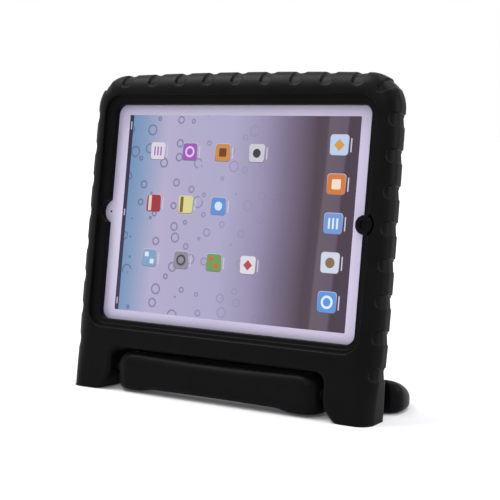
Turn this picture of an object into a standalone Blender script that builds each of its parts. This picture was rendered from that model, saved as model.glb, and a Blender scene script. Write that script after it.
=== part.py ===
"""Moulded foam case for a tablet, with a turning handle that doubles as its stand, and the tablet in it.

The case and tablet are modelled upright around the centre of the tablet's glass: X to the right, Y to the
back, Z up. An empty leans them back. The handle is modelled around its own pivot axis, which runs along X.
"""
import math

import bmesh
import bpy
from mathutils import Matrix, Vector

# Driving sizes, in metres

LEAN_DEG = 8.8
TOUCH_GAP = 0.0003

# Tablet
TABLET_LENGTH = 0.2412
TABLET_HEIGHT = 0.1857
TABLET_THICKNESS = 0.0094
TABLET_CORNER = 0.0115
BEZEL_AT_ENDS = 0.02205
BEZEL_TOP_AND_BOTTOM = 0.01895
DISPLAY_THICKNESS = 0.0022
DISPLAY_CORNER = 0.0008
GLASS_THICKNESS = 0.0010
SHELL_WALL = 0.0010
SHELL_SIDE_WALL = 0.0018
SHELL_RIM_DROP = 0.0004
SHELL_GLASS_EDGE = 0.0008
SHELL_SIDE_DEPTH = 0.0046
SHELL_BACK_MARGIN = 0.0120
SHELL_LEAST_CORNER = 0.0012
SHELL_BACK_CURVE = ((0.11, 0.40), (0.36, 0.74), (1.0, 1.0))
HOME_BUTTON_RADIUS = 0.0056
HOME_BUTTON_THICKNESS = 0.0014
HOME_BUTTON_SINK = 0.00015
HOME_BUTTON_FROM_DISPLAY = 0.0108
BUTTON_GAP = 0.00025
SIDE_BUTTON_PROUD = 0.0002
SIDE_BUTTON_DEPTH = 0.0030
SIDE_BUTTON_WIDTH = 0.0019
SIDE_BUTTON_FROM_GLASS = 0.0032
SIDE_BUTTON_SLOT_REACH = 0.0040
SLEEP_BUTTON_LENGTH = 0.0095
SLEEP_BUTTON_FROM_TOP = 0.0190
VOLUME_ROCKER_LENGTH = 0.0200
VOLUME_ROCKER_FROM_LEFT = 0.0500
SIDE_SWITCH_LENGTH = 0.0040
SIDE_SWITCH_TRAVEL = 0.0016
SIDE_SWITCH_FROM_LEFT = 0.0300
FRONT_CAMERA_RADIUS = 0.0016
FRONT_CAMERA_BLOCK = 0.0070
FRONT_CAMERA_SHORT_BY = 0.0012
REAR_CAMERA_RADIUS = 0.0035
REAR_CAMERA_BLOCK = 0.0090
REAR_CAMERA_FROM_LEFT = 0.0170
REAR_CAMERA_FROM_TOP = 0.0180
BATTERY_COUNT = 3
BATTERY_SPACING = 0.0010
BATTERY_CORNER = 0.0020
BATTERY_FROM_TOP = 0.02085
CELLS_FROM_ENDS = 0.0291
LOGIC_BOARD_LENGTH = 0.0360
LOGIC_BOARD_FROM_TOP = 0.03085
LOGIC_BOARD_THICKNESS = 0.0010
SHIELD_COUNT = 3
SHIELD_LENGTH = 0.0280
SHIELD_HEIGHT = 0.0300
DOCK_LENGTH = 0.0220
DOCK_HEIGHT = 0.0026
DOCK_REACH = 0.0130
JACK_RADIUS = 0.0018
JACK_BLOCK = 0.0060
JACK_REACH = 0.0130
JACK_FROM_BOTTOM = 0.0160
REAR_CAMERA_SHORT_BY = 0.0001
PARTS_OVERLAP = 0.0005
SPEAKER_LENGTH = 0.0120
SPEAKER_HEIGHT = 0.0340
SPEAKER_FROM_RIGHT = 0.0220
SPEAKER_FROM_BOTTOM = 0.0330

# Case body
WALL_AT_ENDS = 0.00715
WALL_AT_TOP = 0.01125
FOOT_TRIM = 0.00157
CASE_FRONT = 0.0108
CASE_BACK = 0.0152
CASE_CORNER = 0.0250
TOP_CROWN = 0.0014
SIDE_CROWN = 0.0008
FRONT_ROLL = 0.0165
FRONT_ROLL_DEPTH = 0.0120
BACK_ROLL = 0.0120
BACK_ROLL_DEPTH = 0.0100
LEG_FRONT_ROLL = 0.0100
LEG_FRONT_ROLL_DEPTH = 0.0080
LEG_BACK_ROLL = 0.0045
LEG_BACK_ROLL_DEPTH = 0.0045
LEG_TAPER = 0.0013
LEG_TAPER_ABOVE_FOOT = 0.0600
LEG_ROLL_STARTS_ABOVE_FOOT = 0.0458
LEG_ROLL_FULL_ABOVE_FOOT = 0.0058
NOTCH_ROLL = 0.0035
FOOT_ROLL = 0.0020
LEG_OUTER_CORNER = 0.0030
LEG_WIDTH = 0.03725
LEG_INNER_CORNER_SHARE = 0.51
CHIN_BELOW_TABLET = 0.00885
NOTCH_CORNER = 0.0080
CHIN_LIP_DROP = 0.0024
CHIN_LIP_THICKNESS = 0.0030
CHIN_LIP_ROOT = 0.0045
CHIN_LIP_CORNER = 0.0008
WINDOW_LIP = 0.0119
LEAST_CORNER_CUT = 0.0003
WINDOW_TALLER_BY = 0.0003
WINDOW_CORNER = 0.0070
LEDGE_FRONT = 0.0060
RECESS_MARGIN = 0.0062
RECESS_SOFT_EDGE = 0.0012
POCKET_GAP = 0.0005
CAMERA_NOTCH_RADIUS = 0.0090
CAMERA_NOTCH_FROM_LIP = 0.0032
CAMERA_NOTCH_SINK = 0.0022
HOME_PAD_RADIUS = 0.0067
HOME_PAD_FRONT = 0.0062
HOME_PAD_BACK = 0.0006
HOME_PAD_GAP = 0.0043
HOME_PAD_SKIN = 0.0010
HOME_PAD_DIMPLE_RADIUS = 0.0024
HOME_PAD_DIMPLE_DEPTH = 0.0009
HOME_PAD_GAP_SWEEP_DEG = 150.0
BACK_CAMERA_HOLE_RADIUS = 0.0075
CUTTER_OVERRUN = 0.0020
BLOCK_CORNER = 0.0004
SPEAKER_SLOT_COUNT = 4
SPEAKER_SLOT_PITCH = 0.0060
SPEAKER_SLOT_LENGTH = 0.0240
SPEAKER_SLOT_WIDTH = 0.0026

# Grip grooves round the rolled edge
TOP_GROOVE_TO_CORNER = 0.00045
SIDE_GROOVE_TO_CORNER = 0.0027
GROOVE_WIDTH = 0.0094
GROOVE_DEPTH = 0.0009
GROOVE_DEEPER_AT_END = 0.5
GROOVE_WALL = 0.0007
TOP_GROOVES_EACH_SIDE = 4
SIDE_GROOVES_ABOVE = 3
SIDE_GROOVES_BELOW = 4
SIDE_GROOVE_OFFSET = -0.0015
TOP_GROOVE_START_DEG = 25.0
TOP_GROOVE_SHOULDER_DEG = 38.0
SIDE_GROOVE_START_DEG = 50.0
SIDE_GROOVE_SHOULDER_DEG = 62.0

# Turning handle
PIVOT_HEIGHT = 0.016213
PIVOT_BELOW_NOTCH = 0.0143
PIVOT_BEHIND_GLASS = 0.0010
BAR_END_GAP = 0.0037
BAR_FRONT = 0.0120
BAR_TOP = 0.0125
BAR_END_CORNER = 0.0120
NECK_TOP = 0.0088
NECK_DROP_START = 0.0020
NECK_DROP_END = 0.0140
LOOP_START = 0.0275
LOOP_REAR = 0.0780
LOOP_OVERHANG = 0.00105
LOOP_FRONT_CORNER = 0.0090
LOOP_REAR_CORNER = 0.0440
LOOP_FILLET = 0.0080
LOOP_REAR_TOP = -0.0025
LOOP_DROP_START = 0.0200
LOOP_DROP_END = 0.0700
SLOT_SHORT_OF_BAR = 0.0178
LOOP_SIDE_LEAST = 0.0005
SLOT_FRONT = 0.0075
SLOT_REAR = 0.0520
SLOT_CORNER = 0.0180
ARCH_RISE = 0.0020
ARCH_SHORT_OF_BAR = 0.0348
ARCH_BLEND = 0.0140
UNDERSIDE_LIFT = 0.0015
UNDERSIDE_FLAT_FROM = 0.0600
HANDLE_TOP_ROLL = 0.0098
HANDLE_BOTTOM_ROLL = 0.0050

# Pivot
PIN_RADIUS = 0.0030
PIN_IN_LEG = 0.0085
PIN_IN_BAR = 0.0120
PIVOT_CLEARANCE = 0.0003
BUSH_WALL = 0.0016

# Mesh density
CORNER_STEPS = 6
ROLL_STEPS = 6
BACK_ROLL_STEPS = 3
ROUND_SEGMENTS = 32
SMOOTH_ANGLE_DEG = 35.0

# Sizes that follow

LEAN = math.radians(LEAN_DEG)
DISPLAY_LENGTH = TABLET_LENGTH - 2 * BEZEL_AT_ENDS
DISPLAY_HEIGHT = TABLET_HEIGHT - 2 * BEZEL_TOP_AND_BOTTOM
BATTERY_HEIGHT = TABLET_HEIGHT - 2 * BATTERY_FROM_TOP
BATTERY_LENGTH = (TABLET_LENGTH - 2 * CELLS_FROM_ENDS - LOGIC_BOARD_LENGTH) / BATTERY_COUNT - BATTERY_SPACING
LOGIC_BOARD_HEIGHT = TABLET_HEIGHT - 2 * LOGIC_BOARD_FROM_TOP
CASE_LENGTH = TABLET_LENGTH + 2 * WALL_AT_ENDS
CASE_TOP = TABLET_HEIGHT / 2 + WALL_AT_TOP
NOTCH_TOP = TABLET_HEIGHT / 2 + CHIN_BELOW_TABLET
NOTCH_HALF_WIDTH = CASE_LENGTH / 2 - LEG_WIDTH
LEG_INNER_CORNER = LEG_WIDTH * LEG_INNER_CORNER_SHARE
PIVOT_DROP = NOTCH_TOP + PIVOT_BELOW_NOTCH
GLASS_HEIGHT_ABOVE_FLOOR = (PIVOT_HEIGHT + PIVOT_DROP * math.cos(LEAN)
                            + PIVOT_BEHIND_GLASS * math.sin(LEAN))
LEG_REACH = (GLASS_HEIGHT_ABOVE_FLOOR + CASE_FRONT * math.sin(LEAN)) / math.cos(LEAN) + FOOT_TRIM
TOP_GROOVE_PITCH = ((CASE_LENGTH / 2 - CASE_CORNER - GROOVE_WIDTH / 2 - TOP_GROOVE_TO_CORNER)
                    / TOP_GROOVES_EACH_SIDE)
SIDE_GROOVE_PITCH = ((CASE_TOP - CASE_CORNER - GROOVE_WIDTH / 2 - SIDE_GROOVE_TO_CORNER - SIDE_GROOVE_OFFSET)
                     / SIDE_GROOVES_ABOVE)
BAR_HALF_LENGTH = NOTCH_HALF_WIDTH - BAR_END_GAP
LOOP_HALF_WIDTH = CASE_LENGTH / 2 + LOOP_OVERHANG
SLOT_HALF_LENGTH = BAR_HALF_LENGTH - SLOT_SHORT_OF_BAR
ARCH_HALF_LENGTH = BAR_HALF_LENGTH - ARCH_SHORT_OF_BAR
SHELL_FLOOR = TABLET_THICKNESS - SHELL_WALL
DISPLAY_FRONT = GLASS_THICKNESS + TOUCH_GAP
BEHIND_DISPLAY = DISPLAY_FRONT + DISPLAY_THICKNESS + TOUCH_GAP
INNER_FLOOR = SHELL_FLOOR - TOUCH_GAP
WINDOW_HALF_LENGTH = TABLET_LENGTH / 2 - WINDOW_LIP
WINDOW_HALF_HEIGHT = TABLET_HEIGHT / 2 - WINDOW_LIP + WINDOW_TALLER_BY
HOME_BUTTON_X = DISPLAY_LENGTH / 2 + HOME_BUTTON_FROM_DISPLAY
FRONT_CAMERA_X = -(DISPLAY_LENGTH / 2 + HOME_BUTTON_FROM_DISPLAY)
BUSH_OUTER_RADIUS = PIN_RADIUS + PIVOT_CLEARANCE + BUSH_WALL


# Scene and materials

def clear_scene():
    """Remove every object from the open scene."""
    for item in list(bpy.data.objects):
        bpy.data.objects.remove(item, do_unlink=True)


def make_material(name, colour, roughness, metallic=0.0):
    """Return a Principled material with a linear colour."""
    material = bpy.data.materials.new(name)
    material.use_nodes = True
    shader = material.node_tree.nodes["Principled BSDF"]
    shader.inputs["Base Color"].default_value = (*colour, 1.0)
    shader.inputs["Roughness"].default_value = roughness
    shader.inputs["Metallic"].default_value = metallic
    return material


def add_empty(name, parent=None, location=(0.0, 0.0, 0.0), lean=0.0):
    """Return an empty that carries a group of pieces."""
    empty = bpy.data.objects.new(name, None)
    bpy.context.collection.objects.link(empty)
    empty.parent = parent
    empty.location = location
    empty.rotation_euler = (lean, 0.0, 0.0)
    return empty


def finish_object(name, shape, material, parent, location=(0.0, 0.0, 0.0)):
    """Turn a bmesh into a named, smooth-shaded object under its parent."""
    bmesh.ops.remove_doubles(shape, verts=shape.verts, dist=1e-6)
    bmesh.ops.recalc_face_normals(shape, faces=shape.faces)
    mesh = bpy.data.meshes.new(name)
    shape.to_mesh(mesh)
    shape.free()
    mesh.shade_smooth()
    mesh.set_sharp_from_angle(angle=math.radians(SMOOTH_ANGLE_DEG))
    if material:
        mesh.materials.append(material)
    piece = bpy.data.objects.new(name, mesh)
    bpy.context.collection.objects.link(piece)
    piece.parent = parent
    piece.location = location
    return piece


def cut(piece, cutter, operation="DIFFERENCE"):
    """Add an exact Boolean to a piece and hide its cutter."""
    cutter.hide_render = True
    cutter.display_type = "WIRE"
    modifier = piece.modifiers.new(cutter.name, "BOOLEAN")
    modifier.operation = operation
    modifier.solver = "EXACT"
    modifier.object = cutter


# Outlines and solids

def corner_arc(corner, before, after, radius_before, radius_after, steps):
    """Return points that round a right-angled corner.

    The two radii are the lengths cut off the edge before and the edge after the corner.
    """
    toward_before = (before - corner).normalized()
    toward_after = (after - corner).normalized()
    centre = corner + toward_before * radius_before + toward_after * radius_after
    points = []
    for step in range(steps + 1):
        turn = math.pi / 2 * step / steps
        reach = toward_after * radius_after * math.cos(turn) + toward_before * radius_before * math.sin(turn)
        points.append(centre - reach)
    return points


def rounded_rectangle(half_length, half_height, radius, steps=CORNER_STEPS):
    """Return the outline of a rounded rectangle as 2-D points."""
    corners = [Vector((-half_length, half_height)), Vector((-half_length, -half_height)),
               Vector((half_length, -half_height)), Vector((half_length, half_height))]
    points = []
    for index, corner in enumerate(corners):
        points += corner_arc(corner, corners[index - 1], corners[(index + 1) % 4], radius, radius, steps)
    return points


def circle_outline(centre, radius, segments=ROUND_SEGMENTS):
    """Return a circle as 2-D points."""
    return [Vector((centre[0] + radius * math.cos(2 * math.pi * step / segments),
                    centre[1] + radius * math.sin(2 * math.pi * step / segments)))
            for step in range(segments)]


def loft(rings):
    """Return a closed solid through rings of 3-D points, with its two ends capped."""
    shape = bmesh.new()
    loops = [[shape.verts.new(point) for point in ring] for ring in rings]
    count = len(loops[0])
    for lower, upper in zip(loops, loops[1:]):
        for index in range(count):
            following = (index + 1) % count
            shape.faces.new((lower[index], lower[following], upper[following], upper[index]))
    shape.faces.new(list(reversed(loops[0])))
    shape.faces.new(loops[-1])
    return shape


def facing_front(points, depth):
    """Place 2-D points of an outline in the plane at a depth behind the glass."""
    return [Vector((point.x, depth, point.y)) for point in points]


def plate(outline, front, back):
    """Return a flat solid between two depths behind the glass."""
    return loft([facing_front(outline, front), facing_front(outline, back)])


def block(centre_x, centre_z, length, height, front, back, radius=BLOCK_CORNER):
    """Return a flat block with small rounded corners, between two depths."""
    outline = [point + Vector((centre_x, centre_z))
               for point in rounded_rectangle(length / 2, height / 2, radius, steps=2)]
    return plate(outline, front, back)


def add_box(shape, low, high):
    """Add a plain box between two corners to a shape."""
    size = Vector(high) - Vector(low)
    middle = (Vector(high) + Vector(low)) / 2
    matrix = Matrix.Translation(middle) @ Matrix.Diagonal((*size, 1.0))
    bmesh.ops.create_cube(shape, size=1.0, matrix=matrix)


def rod(start_x, end_x, radius, depth=0.0, height=0.0, segments=ROUND_SEGMENTS):
    """Return a round bar along X."""
    rings = []
    for place in (start_x, end_x):
        rings.append([Vector((place, depth + point.x, height + point.y))
                      for point in circle_outline((0.0, 0.0), radius, segments)])
    return loft(rings)


# Case body

class BodyEdge:
    """One straight edge of the case's outline, seen from the front."""

    def __init__(self, start, rolls, corner, end_rolls=None, corner_is_hollow=False, grooves=(), crown=0.0):
        """Keep the edge's first corner and its front and back roll, each as an inset and a depth."""
        self.start = Vector(start)
        self.rolls = rolls
        self.end_rolls = end_rolls or rolls
        self.corner = corner
        self.corner_is_hollow = corner_is_hollow
        self.grooves = grooves
        self.crown = crown

    def roll_at(self, drop, front):
        """Return the inset and the depth of the roll, at a place this far below the glass's centre."""
        start = self.rolls[0 if front else 1]
        end = self.end_rolls[0 if front else 1]
        leg_share = blend(drop - LEG_REACH, -LEG_ROLL_STARTS_ABOVE_FOOT, -LEG_ROLL_FULL_ABOVE_FOOT)
        share = leg_share if self.start.y > 0 else 1 - leg_share
        return tuple(low + (high - low) * share for low, high in zip(start, end))


def body_edges():
    """Return the case's edges, round from the top left corner, down the left side and back."""
    half = CASE_LENGTH / 2
    side = [SIDE_GROOVE_OFFSET + SIDE_GROOVE_PITCH * step
            for step in range(-SIDE_GROOVES_BELOW, SIDE_GROOVES_ABOVE + 1)]
    top = [TOP_GROOVE_PITCH * step for step in range(-TOP_GROOVES_EACH_SIDE, TOP_GROOVES_EACH_SIDE + 1)]
    outer = ((FRONT_ROLL, FRONT_ROLL_DEPTH), (BACK_ROLL, BACK_ROLL_DEPTH))
    leg = ((LEG_FRONT_ROLL, LEG_FRONT_ROLL_DEPTH), (LEG_BACK_ROLL, LEG_BACK_ROLL_DEPTH))
    foot = ((FOOT_ROLL, FOOT_ROLL), (FOOT_ROLL, FOOT_ROLL))
    notch = ((NOTCH_ROLL, NOTCH_ROLL), (NOTCH_ROLL, NOTCH_ROLL))
    return [
        BodyEdge((-half, CASE_TOP), outer, CASE_CORNER, leg, grooves=side[::-1], crown=SIDE_CROWN),
        BodyEdge((-half, -LEG_REACH), foot, LEG_OUTER_CORNER),
        BodyEdge((-NOTCH_HALF_WIDTH, -LEG_REACH), notch, LEG_INNER_CORNER),
        BodyEdge((-NOTCH_HALF_WIDTH, -NOTCH_TOP), notch, NOTCH_CORNER, corner_is_hollow=True),
        BodyEdge((NOTCH_HALF_WIDTH, -NOTCH_TOP), notch, NOTCH_CORNER, corner_is_hollow=True),
        BodyEdge((NOTCH_HALF_WIDTH, -LEG_REACH), foot, LEG_INNER_CORNER),
        BodyEdge((half, -LEG_REACH), leg, LEG_OUTER_CORNER, outer, grooves=side, crown=SIDE_CROWN),
        BodyEdge((half, CASE_TOP), outer, CASE_CORNER, grooves=top[::-1], crown=TOP_CROWN),
    ]


def groove_stations(centre, direction):
    """Return places across one groove with their share of its depth and of its width.

    A groove is deeper at the end that comes last on the way round the outline.
    """
    half = GROOVE_WIDTH / 2
    inner = half - GROOVE_WALL
    slope = GROOVE_DEEPER_AT_END
    shares = [(-half, 0.0, 1.0), (-inner, 1 - slope, 0.8), (0.0, 1.0, 0.0), (inner, 1 + slope, 0.8),
              (half, 0.0, 1.0)]
    return [(centre + direction * offset, depth, across) for offset, depth, across in shares]


def crown_at(edge, following, place, upright):
    """Return how far the straight stretch of an edge bulges outwards at a place along it."""
    start = edge.start.y if upright else edge.start.x
    end = following.start.y if upright else following.start.x
    sign = 1 if end > start else -1
    start += sign * edge.corner
    end -= sign * following.corner
    share = (place - (start + end) / 2) / ((end - start) / 2)
    return edge.crown * max(1 - share * share, 0.0)


def corner_groove_turns():
    """Return turns round a top corner, in degrees, with each turn's share of the groove there."""
    half_turn = math.degrees(GROOVE_WIDTH / 2 / CASE_CORNER)
    wall_turn = math.degrees(GROOVE_WALL / CASE_CORNER)
    turns = [(0.0, 0.0, 1.0), (half_turn, 0.0, 1.0), (2 * half_turn, 0.0, 1.0)]
    turns += [(45.0 - half_turn, 0.0, 1.0), (45.0 - half_turn + wall_turn, 1.0, 0.8), (45.0, 1.0, 0.0)]
    mirrored = [(90.0 - turn, depth, across) for turn, depth, across in turns[:-1]]
    return turns + mirrored[::-1]


def plain_corner_turns(steps=CORNER_STEPS):
    """Return evenly spaced turns round a corner without a groove."""
    return [(90.0 * step / steps, 0.0, 1.0) for step in range(steps + 1)]


def body_ring(edges, roll_turn, front):
    """Return one ring of points round the case.

    Args:
        edges: The case's edges, in order.
        roll_turn: Turn along the rolled edge, 0 on the flat face and 90 degrees at the side, in radians.
        front: True for the roll at the front, False for the one at the back.
    """
    side = 0 if front else 1
    narrow = 1 - math.sin(roll_turn)
    shrink = 1 - math.cos(roll_turn)
    starts = [edge.rolls[side] for edge in edges]
    ends = [edge.end_rolls[side] for edge in edges]
    inward = []
    for index, edge in enumerate(edges):
        along = (edges[(index + 1) % len(edges)].start - edge.start).normalized()
        inward.append(Vector((-along.y, along.x)))
    corners = []
    for index, edge in enumerate(edges):
        corners.append(edge.start + inward[index - 1] * ends[index - 1][0] * narrow
                       + inward[index] * starts[index][0] * narrow)
    ring = []
    for index, edge in enumerate(edges):
        before = inward[index - 1]
        after = inward[index]
        sign = -1.0 if edge.corner_is_hollow else 1.0
        cut_before = max(edge.corner - sign * starts[index][0] * narrow, LEAST_CORNER_CUT)
        cut_after = max(edge.corner - sign * ends[index - 1][0] * narrow, LEAST_CORNER_CUT)
        previous = corners[index - 1]
        following = corners[(index + 1) % len(edges)]
        toward_before = (previous - corners[index]).normalized()
        toward_after = (following - corners[index]).normalized()
        centre = corners[index] + toward_before * cut_before + toward_after * cut_after
        is_top = edge.corner == CASE_CORNER
        for turn_deg, depth, across in corner_groove_turns() if is_top else plain_corner_turns():
            turn = math.radians(turn_deg)
            reach = toward_after * cut_after * math.cos(turn) + toward_before * cut_before * math.sin(turn)
            normal = (before * math.cos(turn) + after * math.sin(turn)).normalized()
            roll = ends[index - 1][1] + (starts[index][1] - ends[index - 1][1]) * turn_deg / 90.0
            ring.append(body_point(centre - reach, normal, roll * shrink, roll_turn, depth, across, front,
                                   upright=False))
        upright = abs(toward_after.y) > 0.5
        direction = toward_after.y if upright else toward_after.x
        next_edge = edges[(index + 1) % len(edges)]
        for centre_place in edge.grooves:
            for place, depth, across in groove_stations(centre_place, direction):
                inset, roll_depth = edge.roll_at(-place if upright else 0.0, front)
                shift = (inset - starts[index][0]) * narrow - crown_at(edge, next_edge, place, upright)
                base = corners[index] + after * shift
                base = Vector((base.x, place)) if upright else Vector((place, base.y))
                ring.append(body_point(base, after, roll_depth * shrink, roll_turn, depth, across, front,
                                       upright))
    return ring


def body_point(place, inward, roll_depth, roll_turn, depth_share, across, front, upright):
    """Return a 3-D point of the case's skin, pressed in where a groove runs and drawn in down the legs."""
    tip_deg = SIDE_GROOVE_START_DEG if upright else TOP_GROOVE_START_DEG
    shoulder_deg = SIDE_GROOVE_SHOULDER_DEG if upright else TOP_GROOVE_SHOULDER_DEG
    start_deg = tip_deg + (shoulder_deg - tip_deg) * across
    pressed = GROOVE_DEPTH * depth_share if roll_turn >= math.radians(start_deg) else 0.0
    sunk = place + inward * pressed * math.sin(roll_turn)
    taper = LEG_TAPER * blend(-place.y - LEG_REACH, -LEG_TAPER_ABOVE_FOOT, 0.0)
    taper *= blend(abs(place.x), NOTCH_HALF_WIDTH, CASE_LENGTH / 2)
    sunk.x -= math.copysign(taper, place.x)
    depth = roll_depth + pressed * math.cos(roll_turn)
    behind_glass = -CASE_FRONT + depth if front else CASE_BACK - depth
    return Vector((sunk.x, behind_glass, sunk.y))


def body_blank():
    """Return the moulded block before its window, pocket and bores are cut."""
    edges = body_edges()
    rings = []
    for step in range(ROLL_STEPS + 1):
        rings.append(body_ring(edges, math.pi / 2 * step / ROLL_STEPS, front=True))
    for step in range(BACK_ROLL_STEPS, -1, -1):
        rings.append(body_ring(edges, math.pi / 2 * step / BACK_ROLL_STEPS, front=False))
    return loft(rings)


def window_cutter():
    """Return the hollow seen from the front: recess, ledge, window and the pocket behind it."""
    soft = RECESS_SOFT_EDGE
    margin = RECESS_MARGIN
    ledge = LEDGE_FRONT
    line = margin / 2
    steps = [
        (-CASE_FRONT - CUTTER_OVERRUN, margin + soft),
        (-CASE_FRONT, margin + soft),
        (-CASE_FRONT + soft * 0.4, margin + soft * 0.4),
        (-CASE_FRONT + soft, margin),
        (-ledge - soft * 0.6, margin - soft * 0.3),
        (-ledge - soft * 0.4, line + soft / 3),
        (-ledge - soft * 0.1, line),
        (-ledge, soft * 0.6),
        (-ledge + soft * 0.3, soft * 0.15),
        (-ledge + soft, 0.0),
        (-TOUCH_GAP, 0.0),
    ]
    rings = []
    for depth, grow in steps:
        outline = rounded_rectangle(WINDOW_HALF_LENGTH + grow, WINDOW_HALF_HEIGHT + grow,
                                    WINDOW_CORNER + grow)
        rings.append(facing_front(outline, depth))
    pocket = rounded_rectangle(TABLET_LENGTH / 2 + POCKET_GAP, TABLET_HEIGHT / 2 + POCKET_GAP,
                               TABLET_CORNER + POCKET_GAP)
    rings.append(facing_front(pocket, -TOUCH_GAP))
    rings.append(facing_front(pocket, TABLET_THICKNESS + TOUCH_GAP))
    return loft(rings)


def home_pad_hollow():
    """Return the half-round hollow in the window's lip beside the home button."""
    half_sweep = math.radians(HOME_PAD_GAP_SWEEP_DEG / 2)
    steps = CORNER_STEPS * 2
    centre = Vector((HOME_BUTTON_X, 0.0))
    outline = [centre]
    for step in range(steps + 1):
        turn = -half_sweep + 2 * half_sweep * step / steps
        outline.append(centre + Vector((math.cos(turn), math.sin(turn))) * (HOME_PAD_RADIUS + HOME_PAD_GAP))
    return plate(outline, -CASE_FRONT - CUTTER_OVERRUN, -HOME_PAD_SKIN)


def floor_cutter():
    """Return the slab below the surface that the leaning case stands on."""
    shape = bmesh.new()
    reach = CASE_LENGTH
    add_box(shape, (-reach, -reach, -reach), (reach, reach, 0.0))
    down = Vector((0.0, math.sin(LEAN), -math.cos(LEAN))) * GLASS_HEIGHT_ABOVE_FLOOR
    bmesh.ops.transform(shape, matrix=Matrix.Translation(down) @ Matrix.Rotation(LEAN, 4, "X"),
                        verts=shape.verts)
    return shape


def chin_lip():
    """Return the lip that hangs behind the handle's bar, along the lower edge of the chin."""
    centre_z = -NOTCH_TOP + (CHIN_LIP_ROOT - CHIN_LIP_DROP) / 2
    length = 2 * (NOTCH_HALF_WIDTH - NOTCH_CORNER)
    back = CASE_BACK - TOUCH_GAP
    return block(0.0, centre_z, length, CHIN_LIP_ROOT + CHIN_LIP_DROP, back - CHIN_LIP_THICKNESS, back,
                 radius=CHIN_LIP_CORNER)


def back_openings():
    """Return the cutter for the camera hole and the sound slots in the back."""
    camera = Vector((-TABLET_LENGTH / 2 + REAR_CAMERA_FROM_LEFT, TABLET_HEIGHT / 2 - REAR_CAMERA_FROM_TOP))
    front = TABLET_THICKNESS - CUTTER_OVERRUN / 2
    back = CASE_BACK + CUTTER_OVERRUN
    shape = plate(circle_outline(camera, BACK_CAMERA_HOLE_RADIUS), front, back)
    centre_x = TABLET_LENGTH / 2 - SPEAKER_FROM_RIGHT
    centre_z = -TABLET_HEIGHT / 2 + SPEAKER_FROM_BOTTOM
    for step in range(SPEAKER_SLOT_COUNT):
        place = centre_x + SPEAKER_SLOT_PITCH * (step - (SPEAKER_SLOT_COUNT - 1) / 2)
        slot = block(place, centre_z, SPEAKER_SLOT_WIDTH, SPEAKER_SLOT_LENGTH, front, back,
                     radius=SPEAKER_SLOT_WIDTH * 0.45)
        append_shape(shape, slot)
    return shape


def append_shape(target, extra):
    """Copy one bmesh into another and free it."""
    mesh = bpy.data.meshes.new("extra")
    extra.to_mesh(mesh)
    extra.free()
    target.from_mesh(mesh)
    bpy.data.meshes.remove(mesh)


def pin_span(side):
    """Return where a pivot pin ends in the bar and in the leg, on one side."""
    return side * (BAR_HALF_LENGTH - PIN_IN_BAR), side * (NOTCH_HALF_WIDTH + PIN_IN_LEG)


def build_case_body(frame, foam):
    """Build the one-piece foam case."""
    body = finish_object("case_body", body_blank(), foam, frame)
    cut(body, finish_object("chin_lip", chin_lip(), foam, frame), "UNION")
    cut(body, finish_object("window_cut", window_cutter(), None, frame))
    cut(body, finish_object("home_pad_hollow", home_pad_hollow(), None, frame))
    round_pad = circle_outline((HOME_BUTTON_X, 0.0), HOME_PAD_RADIUS)
    above_pad = plate(round_pad, -CASE_FRONT - CUTTER_OVERRUN, -HOME_PAD_FRONT)
    cut(body, finish_object("above_home_pad", above_pad, None, frame))
    pad = plate(round_pad, -HOME_PAD_FRONT, -HOME_PAD_BACK)
    cut(body, finish_object("home_pad", pad, foam, frame), "UNION")
    dimple = circle_outline((HOME_BUTTON_X, 0.0), HOME_PAD_DIMPLE_RADIUS, 20)
    dimple_front = -CASE_FRONT - CUTTER_OVERRUN
    dimple_floor = -HOME_PAD_FRONT + HOME_PAD_DIMPLE_DEPTH
    cut(body, finish_object("home_pad_dimple", plate(dimple, dimple_front, dimple_floor), None, frame))
    notch_centre = (-WINDOW_HALF_LENGTH + CAMERA_NOTCH_FROM_LIP, 0.0)
    notch_front = -CASE_FRONT + CAMERA_NOTCH_SINK
    notch = plate(circle_outline(notch_centre, CAMERA_NOTCH_RADIUS), notch_front, -TOUCH_GAP)
    cut(body, finish_object("camera_notch", notch, None, frame))
    cut(body, finish_object("floor_plane", floor_cutter(), None, frame))
    cut(body, finish_object("back_holes", back_openings(), None, frame))
    for side, name in ((-1, "left_bore"), (1, "right_bore")):
        leg_end = pin_span(side)[1] + side * PIVOT_CLEARANCE
        bore = rod(side * (NOTCH_HALF_WIDTH - CUTTER_OVERRUN), leg_end, PIN_RADIUS + PIVOT_CLEARANCE,
                   PIVOT_BEHIND_GLASS, -PIVOT_DROP)
        cut(body, finish_object(name, bore, None, frame))
    return body


# Turning handle

def blend(value, start, end):
    """Return 0 before start, 1 after end and a smooth rise between them."""
    share = min(max((value - start) / (end - start), 0.0), 1.0)
    return share * share * (3 - 2 * share)


def handle_top(place):
    """Return the height of the handle's upper face above its pivot, at a place in plan."""
    neck = BAR_TOP + (NECK_TOP - BAR_TOP) * blend(place.y, NECK_DROP_START, NECK_DROP_END)
    return neck + (LOOP_REAR_TOP - NECK_TOP) * blend(place.y, LOOP_DROP_START, LOOP_DROP_END)


def handle_underside(place):
    """Return the height of the handle's lower face above its pivot, at a place in plan."""
    lift = UNDERSIDE_LIFT * (1 - min(max(place.y / UNDERSIDE_FLAT_FROM, 0.0), 1.0))
    arch = ARCH_RISE * (1 - blend(abs(place.x), ARCH_HALF_LENGTH, ARCH_HALF_LENGTH + ARCH_BLEND))
    arch *= 1 - blend(place.y, SLOT_FRONT, SLOT_FRONT + ARCH_BLEND)
    return -PIVOT_HEIGHT + lift + arch


def spread(start, end, count):
    """Return evenly spaced points from start to end, leaving out the end."""
    return [start.lerp(end, step / count) for step in range(count)]


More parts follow.
